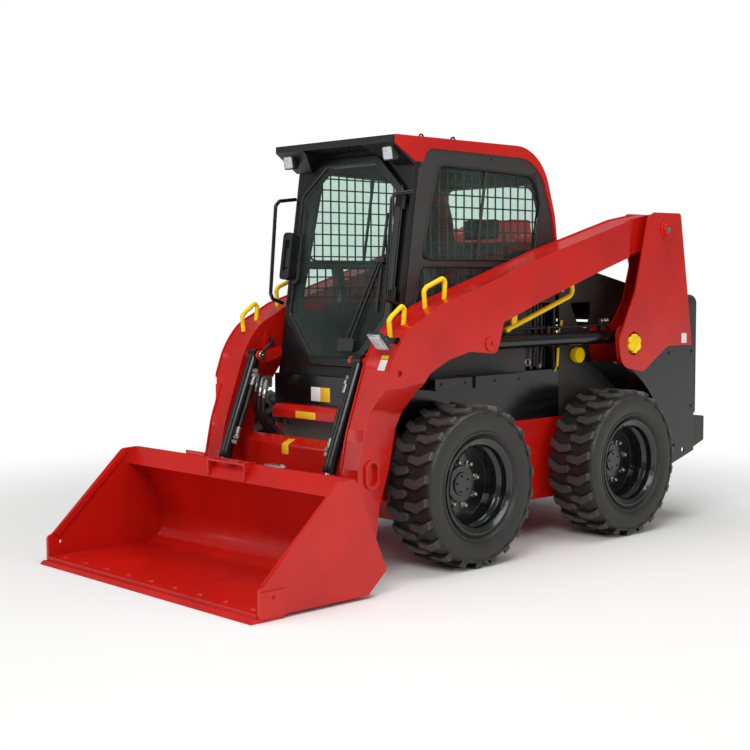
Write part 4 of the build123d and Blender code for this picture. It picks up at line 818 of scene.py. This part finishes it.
def weld_bead(bm, start, end, radius=0.0032):
    """A rippled bead along a seam, under the paint."""
    run = end - start
    steps = max(2, int(run.length / WELD_STEP))
    ahead = run.normalized()
    side = ahead.orthogonal().normalized()
    across = ahead.cross(side)
    rings = []
    for index in range(steps + 1):
        size = radius * (0.82 + 0.30 * (index % 2) + rng.uniform(-0.08, 0.08))
        rings.append(ring_of(bm, start + run * (index / steps), side, across, size, 6))
    bridge(bm, rings, closed=False)


for side in SIDES:
    inside, plate_edge, bracket_side = side * 0.8040, side * 0.8150, side * 0.1400
    weld_bead(welds, at(inside, -1.385, 0.0270), at(inside, -0.860, 0.0270))
    weld_bead(welds, at(inside, -0.8320, 0.400), at(inside, -0.8780, 0.500))
    weld_bead(welds, at(plate_edge, -1.260, 0.020), at(plate_edge, -1.260, 0.118), 0.0026)
    weld_bead(welds, at(bracket_side, -0.9380, 0.5285), at(bracket_side, -0.8800, 0.5285), 0.0024)
add_piece("bucket_weld_beads", welds, RED, "bucket_carrier", 60)

# The lock plate that covers the coupler's latch, with its bolt.
lock = bmesh.new()
slab(lock, facing(at(0.265, -0.862, 0.5232), UPWARD), 0.130, 0.030, 0.006, 0.006)
hex_bolt(lock, facing(at(0.315, -0.862, 0.5292), UPWARD), 16)
add_piece("lock_plate", lock, ZINC, "bucket_carrier")

# ---------------------------------------- cab shell
# A welded cage with riveted charcoal side panels, a pressed red roof, a black visor,
# and square-mesh guards inside tinted glass.
# Matt black powder coat of the cage and visor: takes the glare off the glass.
MATT_BLACK = surface_of("matt_black_enamel", "#0F0F10", "#161617", 0.42, grain_mm=1.0, relief=0.15,
                        specular=0.35)
# Roof lining: black pressed felt, no shine at all.
FELT = surface_of("roof_lining_felt", "#121213", "#1A1A1B", 0.85, cloud_mm=40, grain_mm=0.8, relief=0.4)

dress(RED, "cab_roof")
dress(FELT, "headliner")
dress(MATT_BLACK, "cab_front", "cab_rear", "cab_floor", "roof_visor")
dress(BLACK, "window_guards", "lifting_eyes", "bay_rails")
dress(CHARCOAL, "cab_side_left", "cab_side_right")
soften(5.0, "cab_roof")
soften(2.0, "cab_front", "cab_side_left", "cab_side_right", "roof_visor", "bay_rails", "lifting_eyes")

# Round bar, bent cold: a grab bar beside each side of the door, and two rails over the engine cover.
GRAB_BAR = ((-0.1465, 1.7722), (-0.255, 1.760), (-0.280, 1.735), (-0.318, 1.290), (-0.305, 1.262),
            (-0.2360, 1.2397))
grab_bars = bmesh.new()
for side in SIDES:
    bent_bar(grab_bars, side * 0.425, GRAB_BAR, 0.014, 0.0095)
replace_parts(add_piece("bent_grab_bars", grab_bars, BLACK, "chassis", 60), "grab_bars")

RAIL_TOP, RAIL_ENDS = 1.550, (1.075, 1.420)
rail_feet = [(y, 1.4595 - HOOD_SLOPE * (y - 0.955)) for y in RAIL_ENDS]
rail_corners = [rail_feet[0], (RAIL_ENDS[0], RAIL_TOP), (RAIL_ENDS[1], RAIL_TOP), rail_feet[1]]
hood_rails = bmesh.new()
for x in (-0.340, 0.200):
    bent_bar(hood_rails, x, rail_corners, 0.035, 0.012)
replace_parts(add_piece("bent_hood_rails", hood_rails, YELLOW, "chassis", 60), "hood_rails")

pods = [lamp_head("roof_lamp_%d" % number, aimed(at(side * 0.362, -0.226, 1.955), 10), 0.076, 0.074, 0.046,
                  "chassis", PLASTIC) for number, side in enumerate(SIDES)]
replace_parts(pods[0], "roof_lamps")


def tinted_glass(name):
    """A thin clear pane with a faint green tint, a film of dust, and reflections on its outer face only."""
    material, tree = new_material(name)
    place = add_node(tree, "TexCoord")
    smear = add_node(tree, "TexNoise", {"Scale": 1 / 0.22, "Detail": 5.0, "Roughness": 0.7},
                     {"Vector": place.outputs["Object"]})
    tint = add_node(tree, "BsdfTransparent", {"Color": linear("#F1F9F6")})
    sheen = add_node(tree, "BsdfGlossy", {"Color": (0.9, 1.0, 0.97, 1), "Roughness": 0.03})
    film_of_dust = add_node(tree, "BsdfDiffuse", {"Color": linear("#8FA39B")})
    grazing = add_node(tree, "Fresnel", {"IOR": 1.45})
    face = add_node(tree, "NewGeometry")
    outward = add_node(tree, "Math", {0: 1.0}, {1: face.outputs["Backfacing"]}, operation="SUBTRACT")
    share = add_node(tree, "Math", links={0: grazing, 1: outward}, operation="MULTIPLY")
    mirror = add_node(tree, "MixShader", links={0: share, 1: tint, 2: sheen})
    amount = add_node(tree, "MapRange", {"From Min": 0.35, "From Max": 0.8, "To Min": 0.02, "To Max": 0.07},
                      {"Value": smear})
    pane = add_node(tree, "MixShader", links={0: amount, 1: mirror, 2: film_of_dust})
    add_node(tree, "OutputMaterial", links={"Surface": pane})
    return material


GLASS = tinted_glass("green_safety_glass")
dress(GLASS, "cab_glass", "door_glass")

CAB_SIDE_X = 0.4170
PANEL_SCREWS = (             # y, z
    (-0.180, 0.960), (-0.150, 1.180), (-0.090, 1.900), (0.420, 1.955), (0.760, 1.900), (0.880, 1.480),
    (0.617, 1.180), (0.300, 1.150), (0.020, 1.150),
)
cab_screws = bmesh.new()
for side in SIDES:
    for y, z in PANEL_SCREWS:
        button_screw(cab_screws, on_side(side, CAB_SIDE_X, y, z), 6.5)
    for y, z in ((0.840, 1.440), (0.905, 1.300), (0.905, 1.050)):
        hex_bolt(cab_screws, on_side(side, CAB_SIDE_X, y, z), 13)
add_piece("cab_panel_screws", cab_screws, BLACK_STEEL, "chassis")

# Extruded rubber gaskets round the side openings: dull black.
RUBBER_SEAL = surface_of("seal_rubber", "#111112", "#19191A", 0.5, cloud_mm=30, grain_mm=0.8, relief=0.15)
OPENINGS = (                 # corners as y and z, bend of the gasket
    ([(-0.078, 1.455), (0.038, 1.912), (0.760, 1.890), (0.806, 1.745), (0.748, 1.455)], 0.06),
    ([(-0.088, 1.420), (-0.128, 1.195), (0.560, 1.195), (0.704, 1.420)], 0.035),
)
seals = bmesh.new()
for side in SIDES:
    for corners, bend in OPENINGS:
        middle = [((a[0] + b[0]) / 2, (a[1] + b[1]) / 2) for a, b in zip(corners, corners[1:] + corners[:1])]
        loop = [middle[-1]] + [point for pair in zip(corners, middle) for point in pair]
        bent_bar(seals, side * (CAB_SIDE_X - 0.5 * MM), loop, bend, 0.0065, 8)
add_piece("window_seals", seals, RUBBER_SEAL, "chassis", 60)

# ---------------------------------------- hose bay
# The recess behind the window: dipstick, filler, clipped hoses and a ring
# bolt on the engine side, seen between the arm and the sill.
bay = bmesh.new()
lathe(bay, ((0.010, 0), (0.010, 0.004), (0.006, 0.006), (0.006, 0.050)),
      facing(at(0.395, 0.933, 0.900), UPWARD), 16)
for side in SIDES:
    hex_bolt(bay, on_side(side, BAY_SIDE_X, 0.990, 1.300), 16)
    lathe(bay, ((0.012, 0), (0.012, 0.014)), on_side(side, 0.362, 0.860, 0.902), 6)
RING_AT, RING_RADIUS = at(0.380, 0.751, 0.925), 0.018
ring_path = [RING_AT + Vector((0, *on_circle(RING_RADIUS, step * math.pi / 8))) for step in range(17)]
sweep_bar(bay, ring_path, 0.004, 10)
add_piece("bay_fittings", bay, ZINC, "chassis")

HANDLE_X = 0.4360
dipsticks = bmesh.new()
for top, low in (((0.959, 1.141), (0.956, 1.110)), ((0.933, 0.996), (0.925, 0.899))):
    sweep_bar(dipsticks, [at(HANDLE_X, *top), at(HANDLE_X, *low)], 0.0075, 12)
    sweep_bar(dipsticks, [at(HANDLE_X, *low), at(0.4210, low[0] - 0.004, low[1] - 0.03)], 0.004, 10)
add_piece("dipstick_handles", dipsticks, YELLOW, "chassis")

for number, (y, drop) in enumerate(((0.748, 0.0), (0.768, 0.03), (0.816, 0.0), (0.872, 0.02))):
    route = [at(0.366, y, 1.226), at(0.366, y, 1.150 - drop), at(0.372, y + 0.010, 1.050 - drop),
             at(0.368, y - 0.004, 0.960), at(0.368, y, 0.902)]
    add_hose("bay_hose_%d" % number, route, THICK_HOSE, "chassis")

vent = bmesh.new()
lathe(vent, ((0.025, 0), (0.025, 0.003), (0.021, 0.006), (0.018, 0.004), (0.006, 0.004)),
      on_side(1, CAB_SIDE_X, 0.811, 1.462), 32)
add_piece("round_breather", vent, PLASTIC, "chassis")

# ---------------------------------------- driver's place
# A seat of black vinyl over foam, two control levers in moulded plastic,
# and the plastic trim of the door: its latch and its wiper.
VINYL = surface_of("seat_vinyl", "#161617", "#202021", 0.42, cloud_mm=60, grain_mm=1.5, relief=0.35)
dress(VINYL, "seat")
dress(PLASTIC, "control_levers", "door_latch", "wiper")
soften(4.0, "control_levers", "door_latch")
soften(1.0, "wiper")
CLOTH_FRAMES = 8
BULGE = 0.006                # how far a cushion may swell past its box


def cushion(name, corners_low, corners_high):
    """A foam pad under vinyl: a box from a low to a high corner, blown up by cloth pressure."""
    low, high = at(*corners_low), at(*corners_high)
    centre, size = (low + high) / 2, high - low
    bm = bmesh.new()
    corner = min(size.x, size.y) * 0.16
    slab(bm, Matrix.Translation((0, 0, -size.z / 2)), size.x, size.y, size.z, corner, 5)
    piece = add_object(name, mesh_from(bm, name, VINYL))
    set_up(piece.modifiers.new("even", "REMESH"), mode="VOXEL", voxel_size=0.012)
    cloth = piece.modifiers.new("foam", "CLOTH")
    set_up(cloth.settings, use_pressure=True, uniform_pressure_force=4.0, tension_stiffness=40,
           compression_stiffness=40, bending_stiffness=4)
    cloth.settings.effector_weights.gravity = 0.0
    set_up(cloth.point_cache, frame_start=1, frame_end=CLOTH_FRAMES + 4)
    for number in range(1, CLOTH_FRAMES + 1):
        scene.frame_set(number)
    shaped = bpy.data.meshes.new_from_object(piece.evaluated_get(bpy.context.evaluated_depsgraph_get()))
    scene.frame_set(1)
    piece.modifiers.clear()
    piece.data = shaped
    for vertex in shaped.vertices:
        for axis in range(3):
            limit = size[axis] / 2 + BULGE
            vertex.co[axis] = max(-limit, min(limit, vertex.co[axis]))
    set_up(piece.modifiers.new("round_off", "SMOOTH"), factor=0.5, iterations=6)
    piece.data.shade_smooth()
    return piece, centre


SEAT_PIECES = (              # name, low corner, high corner, lean back in degrees
    ("seat_cushion", (-0.208, 0.325, 1.136), (0.208, 0.745, 1.190), -3),
    ("seat_back", (-0.198, 0.722, 1.200), (0.198, 0.800, 1.550), -10),
    ("head_rest", (-0.122, 0.785, 1.572), (0.122, 0.832, 1.682), -4),
)
for number, (name, low, high, lean) in enumerate(SEAT_PIECES):
    pad, centre = cushion(name, low, high)
    pad.matrix_world = Matrix.Translation(centre) @ Matrix.Rotation(math.radians(lean), 4, "X")
    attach(pad, "chassis")
    if number == 0:
        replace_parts(pad, "seat")

# ---------------------------------------- door
# A round-cornered tube frame in black enamel, on two hinges at the left,
# leaning back with the cab's front, with a handle on its latch.
dress(BLACK, "door_frame")
soften(9.0, "door_frame")
LEAN = 0.145
UP_FRONT = Vector((0, LEAN, 1)).normalized()


def on_cab_front(x, z, proud, direction=(0, -1, LEAN)):
    """Placement so far in front of the leaning cab front, looking out from it."""
    return facing(at(x, -0.275 + LEAN * (z - 0.885) - proud, z), direction)


hinges = bmesh.new()
for z in (1.240, 1.690):
    lathe(hinges, ((0.011, 0), (0.011, 0.085)), on_cab_front(0.405, z, 0.034, UP_FRONT), 20)
    slab(hinges, on_cab_front(0.376, z + 0.042, 0.026), 0.050, 0.060, 0.006, 0.006)
add_piece("door_hinge_leaves", hinges, BLACK_STEEL, "cab_door")
latch = bmesh.new()
slab(latch, on_cab_front(-0.372, 1.470, 0.052), 0.024, 0.100, 0.012, 0.008)
lathe(latch, ((0.010, 0), (0.010, 0.012), (0.008, 0.014)), on_cab_front(-0.372, 1.405, 0.052), 20)
add_piece("latch_handle", latch, PLASTIC, "cab_door")

# ---------------------------------------- rear
# The engine door: pressed shell in charcoal with louvres, a flush paddle
# handle and two hinges on its right edge.
dress(CHARCOAL, "tailgate")
soften(2.5, "tailgate")
gate = bmesh.new()
slab(gate, facing(at(0.540, 1.978, 0.930), REARWARD), 0.060, 0.110, 0.008, 0.010)
slab(gate, facing(at(0.540, 1.986, 0.935), REARWARD), 0.034, 0.070, 0.006, 0.008)
for z in (0.680, 1.080):
    lathe(gate, ((0.010, 0), (0.010, 0.080)), facing(at(-0.588, 1.985, z), UPWARD), 20)
add_piece("tailgate_handle_and_hinges", gate, BLACK_STEEL, "tailgate")
